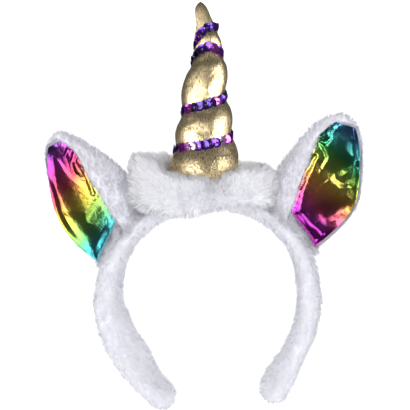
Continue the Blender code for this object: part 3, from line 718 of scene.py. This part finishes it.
horn_surface = surface_of(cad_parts["horn"])
for seed, layer in enumerate(("under", "upper")):
    ruff_pile = pile_on(
        f"ruff_pile_{layer}", ruff_skin, int(20000 * PILE_DENSITY), length=(5.2 + 1.2 * seed) * MM,
        lean=0.95, jitter=0.26, curl=0.22, gather=0.25 + 0.15 * seed, lock_share=0.10 - 0.06 * seed,
        width=0.32 * MM, comb=brushed_apart, avoid=[horn_surface], seed=21 + seed, pattern=LONG_BLADE,
    )
    finish_piece(ruff_pile, "ruff_plush", WHITE_PILE)

# %% [markdown]
# ## The horn
# The horn is a cone of gold lamé, stuffed firmly and bound by the string of sequins, so it swells between the
# turns. The model's horn has those swells. Its copy is stuffed by a short cloth simulation under pressure, held
# along the string and at its seat. It is then smoothed and made finer, its tip is drawn up to a point, and small
# puckers are pressed in where the string pulls at the cloth.

# %% The string's way up the horn
HORN_HEIGHT = 134.5 * MM
HORN_SEAT = 17.6 * MM
HORN_MIDDLE = -1.0 * MM
HORN_LEAN = 6.0 * MM
WINDING_START, WINDING_END = -0.06, 3.66
WINDING_HEIGHTS = (0.130, 0.185, 0.226, 0.243, 0.293, 0.365, 0.425, 0.455, 0.510, 0.610, 0.705, 0.765, 0.722,
                   0.735, 0.785, 0.862, 0.868, 0.876, 0.905)
LEAN_HEIGHTS = (0.00, 0.16, 0.24, 0.41, 0.58, 0.66, 0.74, 0.82, 0.885, 0.925, 1.00)
LEANS = (0.00, 0.02, 0.18, 0.35, 0.48, 0.80, 0.95, 0.85, 0.72, 0.42, 0.20)


def smooth_between(values, position):
    """A value on a smooth curve through evenly spaced values, at a position counted in steps."""
    first = min(int(position), len(values) - 2)
    t = position - first
    before, start, end, after = (values[min(max(first + step, 0), len(values) - 1)] for step in (-1, 0, 1, 2))
    return 0.5 * (2 * start + (end - before) * t + (2 * before - 5 * start + 4 * end - after) * t**2
                  + (3 * start - before - 3 * end + after) * t**3)


def winding_place(turn):
    """The horn's axis beside the string at a turn, and the way outwards there, in the worn frame."""
    share = smooth_between(WINDING_HEIGHTS, (turn + 0.5) * 4)
    angle = math.pi + 2 * math.pi * turn
    middle = HORN_MIDDLE + HORN_LEAN * float(np.interp(share, LEAN_HEIGHTS, LEANS))
    axis = Vector((middle, 0, HORN_SEAT + share * HORN_HEIGHT))
    return axis, Vector((math.cos(angle), math.sin(angle), 0))


def on_surface(surface, axis, outward):
    """Where a line from outside towards the horn's axis meets a surface, with the way it faces."""
    start = Vector(laid(axis + outward * 60 * MM))
    place, faces, _, _ = surface.ray_cast(start, Vector(laid_way(-outward)))
    return place, faces


string_turns = np.linspace(-0.5, 4.0, 900)
groove_points = [on_surface(horn_surface, *winding_place(turn))[0] for turn in string_turns]
groove_points = np.array([point[:] for point in groove_points if point is not None])
print("the string lies on", len(groove_points), "points of the horn")

# %% Near the string
def distance_to(points, targets):
    """How far each point is from the nearest of the targets, and which one that is."""
    tree = KDTree(len(targets))
    for number, target in enumerate(targets):
        tree.insert(target, number)
    tree.balance()
    found = [tree.find(point) for point in points]
    return np.array([near[2] for near in found]), np.array([near[1] for near in found])


# %% The stuffed cone
STUFFING_PRESSURE = 4.0
STUFFING_STEPS = 20
EXTRA_CLOTH = 0.015
MOST_SWELL = 2.4 * MM


def stuffed(piece, held):
    """Swells a piece under pressure between the points where it is held, as stuffing does."""
    start = points_of(piece.data)
    sewn = piece.vertex_groups.new(name="sewn")
    for number, share in enumerate(held):
        sewn.add([number], float(share), "REPLACE")
    cloth = piece.modifiers.new("stuffing", "CLOTH")
    cloth.settings.effector_weights.gravity = 0
    cloth.settings.use_pressure = True
    cloth.settings.uniform_pressure_force = STUFFING_PRESSURE
    cloth.settings.mass = 0.002
    cloth.settings.shrink_min = -EXTRA_CLOTH
    cloth.settings.vertex_group_mass = sewn.name
    for step in range(1, STUFFING_STEPS + 1):
        bpy.context.scene.frame_set(step)
    settle_modifiers(piece)
    bpy.context.scene.frame_set(1)
    moved = points_of(piece.data) - start
    swell = np.linalg.norm(moved, axis=1)
    move_points(piece.data, start + moved * np.minimum(1, MOST_SWELL / np.maximum(swell, 1e-9))[:, None])
    piece.vertex_groups.clear()
    print(piece.name, "swells by", round(swell.mean() / MM, 2), "mm on average and", round(swell.max() / MM, 2))


TIP_DRAWN_UP = 1.6 * MM
TIP_LENGTH = 14 * MM
horn = skin_of(("horn",), "lame_horn", voxel=1.9 * MM, drawn_in=0.0, rounds=1)
from_string, _ = distance_to(points_of(horn.data), groove_points)
from_seat = worn(points_of(horn.data))[:, 2] - HORN_SEAT
stuffed(horn, np.maximum(1 - eased_step(from_string, 1.6 * MM, 3.0 * MM),
                         1 - eased_step(from_seat, 1 * MM, 3 * MM)))
smooth_cloth = horn.modifiers.new("smooth_cloth", "SMOOTH")
smooth_cloth.factor, smooth_cloth.iterations = 0.5, 5
fine_cloth = horn.modifiers.new("fine_cloth", "SUBSURF")
fine_cloth.levels = fine_cloth.render_levels = 1
settle_modifiers(horn)
in_wear = worn(points_of(horn.data))
horn_tip = in_wear[:, 2].max()
in_wear[:, 2] += TIP_DRAWN_UP * eased_step(in_wear[:, 2], horn_tip - TIP_LENGTH, horn_tip)
move_points(horn.data, laid(in_wear))


# %% Puckers beside the string
PUCKER_DEPTH = 0.35 * MM
PUCKER_REACH = 3.2 * MM
RIB_SHARE = 0.22
STRING_LENGTH = 310 * MM


def press_puckers(piece):
    """Small folds that run up and down from the string, strongest beside it."""
    points, normals = points_of(piece.data), normals_of(piece.data)
    away, nearest = distance_to(points, groove_points)
    along_string = nearest / len(groove_points) * STRING_LENGTH
    folds = sum(np.sin(2 * math.pi * along_string / (length * MM) + phase)
                for length, phase in ((4.1, 0.0), (2.9, 1.9), (6.3, 4.0))) / 3
    strength = np.exp(-((away / PUCKER_REACH) ** 2)) + RIB_SHARE
    move_points(piece.data, points + normals * (PUCKER_DEPTH * folds * strength)[:, None])


press_puckers(horn)


# %% [markdown]
# ## Gold lamé
# Lamé is a knit with a metal film on it. It mirrors the room in soft streaks, with a fine speckle where the
# threads break the film. Streaks of darker and paler gold are painted into its colour as well: partly painted
# reflection, partly the film's own uneven tone. The streaks follow the cloth up the horn, so the material
# reads a UV map wound round the horn in metres.


# %% Lamé UV map and material
def wind_uv(piece):
    """A UV map wound round the horn: across is the way round and up is the height, both in metres."""
    mesh = piece.data
    corners = corners_of(mesh)
    places = worn(points_of(mesh))
    angle = np.arctan2(places[:, 1], places[:, 0] - HORN_MIDDLE)[corners]
    sizes = np.array([polygon.loop_total for polygon in mesh.polygons])
    starts = np.concatenate([[0], np.cumsum(sizes)[:-1]])
    first = np.repeat(angle[starts], sizes)
    angle = first + (angle - first + math.pi) % (2 * math.pi) - math.pi
    uv = mesh.uv_layers.new(name="round_the_horn")
    flat = np.stack([angle * 20 * MM, places[corners, 2]], axis=1)
    uv.data.foreach_set("uv", flat.ravel())


def lame_material():
    """Gold film: streaks of darker and paler gold up the horn, partly painted reflection, and a speckle of broken
    film.
    """
    material, tree, shader = plain_material("gold_lame", Metallic=1.0, Roughness=0.36)
    place = node_of(tree, "ShaderNodeUVMap", uv_map="round_the_horn").outputs["UV"]
    stretch = node_of(tree, "ShaderNodeMapping", Vector=place, Scale=(1.0, 0.22, 1.0)).outputs["Vector"]
    streaks = node_of(tree, "ShaderNodeTexNoise", Vector=stretch, Scale=1500.0, Detail=3.0).outputs["Fac"]
    patches = node_of(tree, "ShaderNodeTexNoise", Vector=place, Scale=1900.0, Detail=4.0).outputs["Fac"]
    speckle = node_of(tree, "ShaderNodeTexVoronoi", Vector=place, Scale=1000.0).outputs["Distance"]
    film = scaled_sum(tree, streaks, 0.55, scaled_sum(tree, patches, 0.45, 0.0))
    # Dark and pale gold by the streaks: partly painted reflection, partly the film's uneven tone.
    gold = ramp_of(tree, film, ((0.37, (0.24, 0.15, 0.05)), (0.44, (0.62, 0.44, 0.19)),
                                (0.51, (0.95, 0.75, 0.43)), (0.60, (1.0, 0.91, 0.66))))
    fine = node_of(tree, "ShaderNodeBump", Height=speckle, Strength=0.9, Distance=0.22 * MM).outputs["Normal"]
    coarse = node_of(tree, "ShaderNodeBump", Height=streaks, Strength=0.3, Distance=0.12 * MM, Normal=fine)
    fill_in(tree, shader, Base_Color=gold, Normal=coarse.outputs["Normal"])
    return material


wind_uv(horn)
finish_piece(horn, "gold_lame", lame_material(), "horn")

# %% [markdown]
# ## The string of sequins
# A sequin is a thin cupped disc with a hole in its middle. On a string each one laps over the next like a
# roof tile, and no two sit at quite the same angle, so one flashes pale while its neighbour is nearly black.
# That flash and that dark are also painted: each disc has its own tone, from painted dark through violet and
# magenta to a painted pale flash. One disc is modelled and set along the string's way on the finished horn.


# %% One sequin
def sequin_pattern(radius, hole, cup, sides):
    """A cupped ring of two rows of faces, with its normal along +Z."""
    bm = bmesh.new()
    inner = bmesh.ops.create_circle(bm, segments=sides, radius=hole)["verts"]
    edges = list({edge for vertex in inner for edge in vertex.link_edges})
    for ring, lift in ((0.62 * radius, 0.25 * cup), (radius, cup)):
        grown = bmesh.ops.extrude_edge_only(bm, edges=edges)["geom"]
        edges = [item for item in grown if isinstance(item, bmesh.types.BMEdge)]
        for vertex in (item for item in grown if isinstance(item, bmesh.types.BMVert)):
            flat = Vector((vertex.co.x, vertex.co.y, 0)).normalized() * ring
            vertex.co = (flat.x, flat.y, lift)
    bmesh.ops.recalc_face_normals(bm, faces=bm.faces)
    if sum(face.normal.z for face in bm.faces) < 0:
        bmesh.ops.reverse_faces(bm, faces=bm.faces)
    bm.verts.index_update()
    points = np.array([vertex.co[:] for vertex in bm.verts])
    faces = [[vertex.index for vertex in face.verts] for face in bm.faces]
    bm.free()
    return points, faces


SEQUIN = sequin_pattern(radius=3.6 * MM, hole=0.8 * MM, cup=0.45 * MM, sides=12)
print("a sequin has", len(SEQUIN[1]), "faces")

# %% Sequins set along the string
SEQUIN_PITCH = 4.3 * MM
SEQUIN_LAP = 0.16
SEQUIN_WOBBLE = 0.13
# The tones of the first discs, from painted dark to a painted pale flash, listed along the string.
FIRST_PAINTED_FLASH_TONES = (0.10, 0.16, 0.30, 0.50, 0.68, 0.90, 1.00, 0.34, 0.28, 0.40, 0.32, 0.95, 0.74, 0.60, 0.45)
horn_mesh_surface = surface_of(horn)


def string_way():
    """Points along the string on the finished horn and the way outwards at each."""
    turns = np.linspace(WINDING_START, WINDING_END, 1400)
    places, outs = [], []
    for turn in turns:
        axis, outward = winding_place(turn)
        place, _ = on_surface(horn_mesh_surface, axis, outward)
        if place is not None:
            places.append(place[:])
            outs.append(laid_way(outward))
    return np.array(places), np.array(outs)


def smoothed(rows, reach):
    """Each row averaged with its neighbours."""
    padded = np.pad(rows, ((reach, reach), (0, 0)), mode="edge")
    window = np.ones(2 * reach + 1) / (2 * reach + 1)
    return np.stack([np.convolve(padded[:, column], window, mode="valid") for column in range(3)], axis=1)


def make_sequins(name):
    """All the sequins of the string as one mesh."""
    chance = np.random.default_rng(5)
    places, outs = string_way()
    places = smoothed(places, 12)
    steps = np.linalg.norm(np.diff(places, axis=0), axis=1)
    travelled = np.concatenate([[0], np.cumsum(steps)])
    stops = np.arange(0.5 * SEQUIN_PITCH, travelled[-1], SEQUIN_PITCH)
    points, faces, tones = [], [], []

    def at(rows, stop):
        return np.array([np.interp(stop, travelled, rows[:, axis]) for axis in range(3)])

    for number, stop in enumerate(stops):
        here, out = at(places, stop), at(outs, stop)
        along = unit(at(places, stop + 2 * MM) - at(places, stop - 2 * MM))
        out = unit(out - along * out.dot(along))
        across = np.cross(along, out)
        wobble = chance.normal(scale=SEQUIN_WOBBLE, size=2)
        facing = unit(out - SEQUIN_LAP * along + wobble[0] * along + wobble[1] * across)
        x_way = unit(along - facing * along.dot(facing))
        y_way = np.cross(facing, x_way)
        ring = (SEQUIN[0][:, :1] * x_way + SEQUIN[0][:, 1:2] * y_way + SEQUIN[0][:, 2:] * facing)
        base = len(points) * len(SEQUIN[0])
        points.append(here + out * 0.95 * MM + ring)
        faces += [[corner + base for corner in face] for face in SEQUIN[1]]
        # Later discs draw their tone at random, from painted dark to a painted pale flash.
        chosen = chance.choice((0.12, 0.3, 0.5, 0.68, 0.95), p=(0.24, 0.28, 0.22, 0.18, 0.08))
        chosen = FIRST_PAINTED_FLASH_TONES[number] if number < len(FIRST_PAINTED_FLASH_TONES) else chosen
        tones += [float(np.clip(chosen + chance.normal(scale=0.03), 0, 1))] * len(SEQUIN[0])
    mesh = bpy.data.meshes.new(name)
    mesh.from_pydata(np.concatenate(points).tolist(), [], faces)
    tone = mesh.attributes.new("tone", "FLOAT", "POINT")
    tone.data.foreach_set("value", tones)
    print(name, "has", len(stops), "discs on", round(travelled[-1] / MM), "mm of string")
    return linked(name, mesh)


def sequin_material():
    """Purple film on plastic: each disc has its own tone, from painted dark through violet to a painted pale lilac
    flash.
    """
    material, tree, shader = plain_material("purple_sequin", Metallic=0.9, Roughness=0.16, Coat_Weight=0.6,
                                            Coat_Roughness=0.06)
    # Near black is painted dark and pale lilac a painted flash; violet and magenta are the film's own.
    violet = ramp_of(tree, kept(tree, "tone"), (
        (0.0, (0.020, 0.008, 0.06)), (0.30, (0.07, 0.02, 0.30)), (0.50, (0.20, 0.03, 0.46)),
        (0.68, (0.50, 0.06, 0.52)), (1.0, (0.80, 0.60, 0.92))))
    fill_in(tree, shader, Base_Color=violet)
    return material


sequins = make_sequins("sequins")
film = sequins.modifiers.new("film_thickness", "SOLIDIFY")
film.thickness = 0.12 * MM
settle_modifiers(sequins)
sequins.data.shade_flat()
finish_piece(sequins, "sequins", sequin_material(), "sequin_string")

# %% [markdown]
# ## The foil linings
# The ears are lined with thin rainbow foil cloth, cut larger than the cup and gathered where it is sewn in
# beside the horn, so it lies in loops and folds. Each lining starts as the front face of the model's sheet,
# made fine by subdivision. It is drawn towards the plane of its edge and out over the rims, which keeps its
# middle dark, as in a shallow mirror. The folds are then raised along runs in the ear's own frame: millimetres
# across the ear from its middle, away from the horn, and along it from its foot.

# %% The ears' own frames
EARS = {
    "left": {"side": -1, "bearing": 32.0, "lean": 27.5, "lift": 0.16},
    "right": {"side": 1, "bearing": 34.0, "lean": 20.0, "lift": 0.0},
}
# Each fold has the run that it rises along, its height, and its widths on the left and the right of the run.
FOLDS = {
    "left": (
        (((10, 74), (14, 63), (15, 48), (15, 35), (16, 27)), 1.7, (2.2, 7.0)),
        (((16, 29), (14, 20), (12, 10), (14, 1)), 2.2, (5.0, 6.0)),
        (((8, 74), (2, 68), (1, 61), (-1, 52), (-6, 45)), 1.0, (2.0, 3.5)),
        (((-6, 72), (-2, 69), (-1, 60)), 1.5, (1.3, 1.6)),
        (((-9, 68), (-4, 63), (-2, 54), (-5, 48)), 1.6, (1.4, 2.0)),
        (((-9, 62), (-10, 55), (-8, 51), (-7, 36)), 1.5, (1.6, 1.6)),
        (((-8, 29), (0, 25), (6, 22)), 1.0, (3.0, 5.0)),
    ),
    "right": (
        (((27, 60), (20, 59), (14, 54), (11, 50)), 2.3, (2.4, 6.0)),
        (((11, 50), (12, 46), (16, 45), (22, 46), (27, 43)), 2.3, (6.0, 2.4)),
        (((28, 42), (28, 35), (24, 28), (17, 22), (13, 18)), 2.8, (4.0, 5.0)),
        (((-8, 56), (-9, 49), (-11, 41), (-11, 33)), 1.7, (1.7, 1.7)),
        (((-2, 15), (5, 11), (15, 6)), 1.1, (1.3, 1.3)),
        (((-7, 13), (1, 7), (11, 0)), 1.1, (1.3, 1.3)),
        (((-2, 78), (-1, 73), (-4, 68), (-8, 68)), 1.6, (1.4, 1.4)),
        (((-10, 68), (-5, 63), (-1, 58), (-1, 51)), 1.3, (1.4, 3.0)),
        (((-1, 76), (4, 80), (13, 77), (16, 74)), 1.1, (1.9, 3.5)),
        (((17, 74), (21, 66), (20, 60)), 2.0, (6.0, 4.0)),
        (((12, 21), (16, 15), (21, 17)), 1.3, (1.6, 1.6)),
    ),
}


def ear_frame(side_name):
    """The middle of an ear's foot, the way along it and the way across it, in the worn frame."""
    ear = EARS[side_name]
    bearing, lean = math.radians(ear["bearing"]), math.radians(ear["lean"])
    reach = 8.6 * MM + ear["lift"] * 17.2 * MM
    foot = np.array((ear["side"] * (71.1 * MM + reach) * math.cos(bearing), 5.0 * MM,
                     -57.0 * MM + (65.6 * MM + reach) * math.sin(bearing)))
    along = np.array((ear["side"] * math.sin(lean), 0, math.cos(lean)))
    across = np.array((ear["side"] * math.cos(lean), 0, -math.sin(lean)))
    return foot, along, across


def in_ear(side_name, points):
    """Millimetres across and along an ear, for points on the lying headband."""
    foot, along, across = ear_frame(side_name)
    offsets = worn(points) - foot
    return np.stack([offsets @ across, offsets @ along], axis=1) / MM


# %% A fine sheet from the model's lining
FOIL_EASING = 8
FOIL_FLATNESS = 0.85
FOIL_GROWTH = {"left": (0.09, 0.13), "right": (0.07, 0.05)}
FOIL_MIDDLE = {"left": 4.0, "right": 8.0}
FOIL_TURN = {"left": 0.13, "right": 0.07}
FOIL_PIVOT = {"left": -7.0, "right": 2.0}
FOIL_LIFT = 0.5


def boundary_of(mesh):
    """The edges of an open sheet that only one face uses, as pairs of vertex numbers."""
    uses = {}
    for polygon in mesh.polygons:
        for key in polygon.edge_keys:
            uses[key] = uses.get(key, 0) + 1
    return [key for key, count in uses.items() if count == 1]


def drawn_flat(side_name, sheet):
    """Pulls the inner part of a lining towards the plane of its edge, and its two sides out over the rims."""
    points = points_of(sheet.data)
    flat = in_ear(side_name, points)
    edge = sorted({corner for key in boundary_of(sheet.data) for corner in key})
    forms = np.column_stack([np.ones(len(points)), flat])
    depth = worn(points)[:, 1] / MM
    plane = forms @ np.linalg.lstsq(forms[edge], depth[edge], rcond=None)[0]
    behind = depth - plane
    print(sheet.name, "lies", behind.min().round(1), "to", behind.max().round(1), "mm behind its edge")
    share = FOIL_FLATNESS * (1 - eased_step(flat[:, 0], 17.0, 27.0))
    places = worn(points)
    _, _, across = ear_frame(side_name)
    from_middle = flat[:, 0] - FOIL_MIDDLE[side_name]
    target = plane + 0.8 - FOIL_TURN[side_name] * (flat[:, 0] - FOIL_PIVOT[side_name])
    inside = eased_step(distance_to(points, points[edge])[0], 0, 5 * MM)
    places[:, 1] += (np.minimum(share * (target - depth) * inside, 0.4) - FOIL_LIFT) * MM
    inner, outer = FOIL_GROWTH[side_name]
    places += (from_middle * np.where(from_middle < 0, inner, outer) * MM)[:, None] * across
    move_points(sheet.data, laid(places))


def front_of(node, name, keep_facing):
    """The front layer of a lining as an open sheet of small squares."""
    bm = bmesh.new()
    bm.from_mesh(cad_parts[node].data)
    bmesh.ops.remove_doubles(bm, verts=bm.verts, dist=0.01 * MM)
    bm.normal_update()
    front = Vector(laid_way((0, -1, 0)))
    hidden = [face for face in bm.faces if face.normal.dot(front) < keep_facing]
    bmesh.ops.delete(bm, geom=hidden, context="FACES")
    bmesh.ops.join_triangles(bm, faces=bm.faces, angle_face_threshold=3.0, angle_shape_threshold=3.0)
    inside = [vertex for vertex in bm.verts if not vertex.is_boundary]
    for _ in range(FOIL_EASING):
        bmesh.ops.smooth_vert(bm, verts=inside, factor=0.5, use_axis_x=True, use_axis_y=True, use_axis_z=True)
    print(name, "starts with", len(bm.faces), "faces")
    sheet = linked(name, mesh_from(bm, name))
    fine = sheet.modifiers.new("fine_net", "SUBSURF")
    fine.levels = fine.render_levels = 3
    settle_modifiers(sheet)
    return sheet


def fold_lift(points, fold):
    """How far a fold lifts each flat point: a smooth ridge, which may be steeper on one side."""
    run, height, widths = fold
    run = np.array(run, float)
    nearest, on_left = np.full(len(points), 1e9), np.zeros(len(points), bool)
    for start, end in zip(run, run[1:]):
        step = end - start
        share = np.clip((points - start) @ step / (step @ step), 0, 1)
        offset = points - start - share[:, None] * step
        away = np.linalg.norm(offset, axis=1)
        closer = away < nearest
        nearest[closer] = away[closer]
        on_left[closer] = (step[0] * offset[:, 1] - step[1] * offset[:, 0])[closer] > 0
    width = np.where(on_left, *widths)
    return height * np.exp(-((nearest / width) ** 2) / 1.6)


def folded(side_name, sheet):
    """Raises the folds, the gathers beside the horn and a fine crumple on a lining."""
    points = points_of(sheet.data)
    flat = in_ear(side_name, points)
    drift = np.stack([np.sin(flat[:, 1] / 3.7 + 1.0) + 0.6 * np.sin(flat[:, 1] / 1.9 + flat[:, 0] / 5),
                      np.sin(flat[:, 0] / 4.3 + 2.0) + 0.5 * np.sin(flat[:, 0] / 2.3)], axis=1)
    bent = flat + 0.35 * drift
    lift = np.max([fold_lift(bent, fold) for fold in FOLDS[side_name]], axis=0)
    rim = np.exp(-np.clip(flat[:, 0] + 12.0, 0, None) / 6.5)
    gathers = np.sin(2 * math.pi * (bent[:, 1] + 0.35 * bent[:, 0]) / 4.6) * 0.12 * rim
    crumple = 0.03 * np.sin(bent[:, 0] * 1.1 + 1.4 * np.sin(bent[:, 1] * 0.5)) * np.sin(bent[:, 1] * 0.8 + 2.0)
    front = laid_way((0, -1, 0))
    move_points(sheet.data, points + front * ((lift + gathers + crumple) * MM)[:, None])
    uv = sheet.data.uv_layers.new(name="cut_of_the_cloth")
    uv.data.foreach_set("uv", (flat[corners_of(sheet.data)] * MM).ravel())


# %% [markdown]
# ## Rainbow foil
# The cloth is a satin with a mirror film in rainbow bands, which run across the ear and drift with the cloth.
# The two linings are cut from it in opposite directions, so the left ear goes from indigo at its tip to teal
# at its foot, and the right one from blue to magenta. A fine grain of printed dots breaks up the mirror.

# %% Foil material
RAINBOWS = {
    "left": ((0.06, (0.06, 0.38, 0.44)), (0.17, (0.12, 0.42, 0.16)), (0.28, (0.32, 0.54, 0.10)),
             (0.38, (0.66, 0.52, 0.08)), (0.47, (0.66, 0.34, 0.08)), (0.56, (0.56, 0.10, 0.10)),
             (0.66, (0.56, 0.07, 0.22)), (0.75, (0.42, 0.06, 0.38)), (0.84, (0.25, 0.09, 0.44)),
             (0.90, (0.12, 0.12, 0.50))),
    "right": ((0.06, (0.46, 0.03, 0.40)), (0.15, (0.36, 0.05, 0.38)), (0.26, (0.62, 0.09, 0.22)),
              (0.33, (0.56, 0.16, 0.14)), (0.41, (0.74, 0.34, 0.08)), (0.51, (0.68, 0.56, 0.12)),
              (0.60, (0.36, 0.58, 0.10)), (0.69, (0.07, 0.40, 0.12)), (0.82, (0.08, 0.40, 0.46)),
              (0.93, (0.10, 0.22, 0.54)), (0.98, (0.20, 0.12, 0.50))),
}
DYE_STRENGTH = 0.58
# In metres and shares of the rainbow: how long it is, where it starts, how it leans and how far it drifts.
RAINBOW_LENGTH, RAINBOW_START, RAINBOW_TILT, RAINBOW_SWAY = 0.095, -0.07, 4.65, 0.14


def foil_material(side_name):
    """Mirror film whose colour runs through the rainbow along the ear."""
    material, tree, shader = plain_material(f"foil_{side_name}", Metallic=1.0, Roughness=0.27)
    place = node_of(tree, "ShaderNodeUVMap", uv_map="cut_of_the_cloth").outputs["UV"]
    drift = node_of(tree, "ShaderNodeTexNoise", Vector=place, Scale=55.0, Detail=2.0).outputs["Fac"]
    split = node_of(tree, "ShaderNodeSeparateXYZ", Vector=place)
    upwards = scaled_sum(tree, split.outputs["Y"], 1 / RAINBOW_LENGTH, RAINBOW_START)
    tilted = scaled_sum(tree, split.outputs["X"], RAINBOW_TILT, upwards)
    dye = ramp_of(tree, scaled_sum(tree, drift, RAINBOW_SWAY, tilted),
                  [(stop, np.array(colour) * DYE_STRENGTH) for stop, colour in RAINBOWS[side_name]])
    grain = node_of(tree, "ShaderNodeTexVoronoi", Vector=place, Scale=1000.0).outputs["Distance"]
    dots = node_of(tree, "ShaderNodeBump", Height=grain, Strength=0.55, Distance=0.14 * MM)
    fill_in(tree, shader, Base_Color=dye, Normal=dots.outputs["Normal"])
    return material


# %% The frayed foot of a lining
FRAY_COUNT = 420
FRAY_LENGTH = 1.9 * MM
FEET = {"left": 1.0, "right": 0.75}
FOIL_CENTRE = np.array((6.0, 40.0))
FRAY_COLOURS = {"left": ((0.03, 0.24, 0.28), (0.10, 0.52, 0.58)), "right": ((0.28, 0.02, 0.26), (0.62, 0.06, 0.56))}


def fringe_of(side_name, sheet):
    """Loose threads along the cut edge at the foot of a lining."""
    chance = np.random.default_rng(7)
    points = points_of(sheet.data)
    slope = FEET[side_name]
    pairs = np.array(boundary_of(sheet.data))
    ends = in_ear(side_name, points)[pairs]
    steps, middles = ends[:, 1] - ends[:, 0], ends.mean(axis=1)
    outward = unit(np.stack([steps[:, 1], -steps[:, 0]], axis=1))
    outward *= np.sign((outward * (middles - FOIL_CENTRE)).sum(axis=1))[:, None]
    at_foot = (outward @ unit(np.array((-slope, -1.0))) > 0.8) & (middles[:, 1] < 30)
    print("the foot of", sheet.name, "has", at_foot.sum(), "edges")
    pairs = pairs[at_foot][chance.integers(0, at_foot.sum(), FRAY_COUNT)]
    shares = chance.random(FRAY_COUNT)[:, None]
    roots = points[pairs[:, 0]] * shares + points[pairs[:, 1]] * (1 - shares)
    _, along, across = ear_frame(side_name)
    away = laid_way(unit(-along - slope * across))
    out = np.tile(laid_way((0, -1, 0)), (FRAY_COUNT, 1))
    ways = unit(away + 0.25 * out + 0.45 * chance.normal(size=roots.shape))
    lengths = FRAY_LENGTH * (0.4 + 0.9 * chance.random(FRAY_COUNT))
    bends = unit(chance.normal(size=roots.shape)) * lengths[:, None] * 0.3
    locks = lock_of_each(roots, 0.2, chance)
    fringe = grow_pile(f"foil_fringe_{side_name}", roots, out, ways, lengths, bends, 0.3 * MM, BLADE, chance, 0.3,
                       locks)
    finish_piece(fringe, f"foil_{side_name}", fray_material(side_name))
    return fringe


def fray_material(side_name):
    """Bare dyed thread, each strand lighter or darker by its own tone."""
    material, tree, shader = plain_material(f"frayed_thread_{side_name}", Roughness=0.5, Metallic=0.2)
    dark, light = FRAY_COLOURS[side_name]
    fill_in(tree, shader, Base_Color=ramp_of(tree, kept(tree, "tone"), ((0.1, dark), (0.9, light))))
    return material


# %% Foil linings
def area_of(mesh):
    """A mesh's area in square metres."""
    return sum(polygon.area for polygon in mesh.polygons)


for side in ("left", "right"):
    foil = front_of(f"ear_lining_{side}", f"foil_lining_{side}", keep_facing=0.12)
    drawn_flat(side, foil)
    folded(side, foil)
    fringe = fringe_of(side, foil)
    print(foil.name, "measures", round(area_of(foil.data) * 1e6), "square mm")
    film = foil.modifiers.new("cloth_thickness", "SOLIDIFY")
    film.thickness = 0.25 * MM
    settle_modifiers(foil)
    foil.data.materials.clear()
    finish_piece(foil, f"foil_{side}", foil_material(side), f"ear_lining_{side}")

# %% [markdown]
# ## Count the triangles
# The triangles of the dressed pieces are counted, and the total and the largest are printed. The
# dressed headband may stand only a little proud of the model.

# %% Count the triangles
triangles = {piece.name: sum(len(polygon.vertices) - 2 for polygon in piece.data.polygons)
             for piece in bpy.context.scene.objects if piece.type == "MESH" and piece.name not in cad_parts}
print("the pieces have", sum(triangles.values()), "triangles in all, and at most", max(triangles.values()))
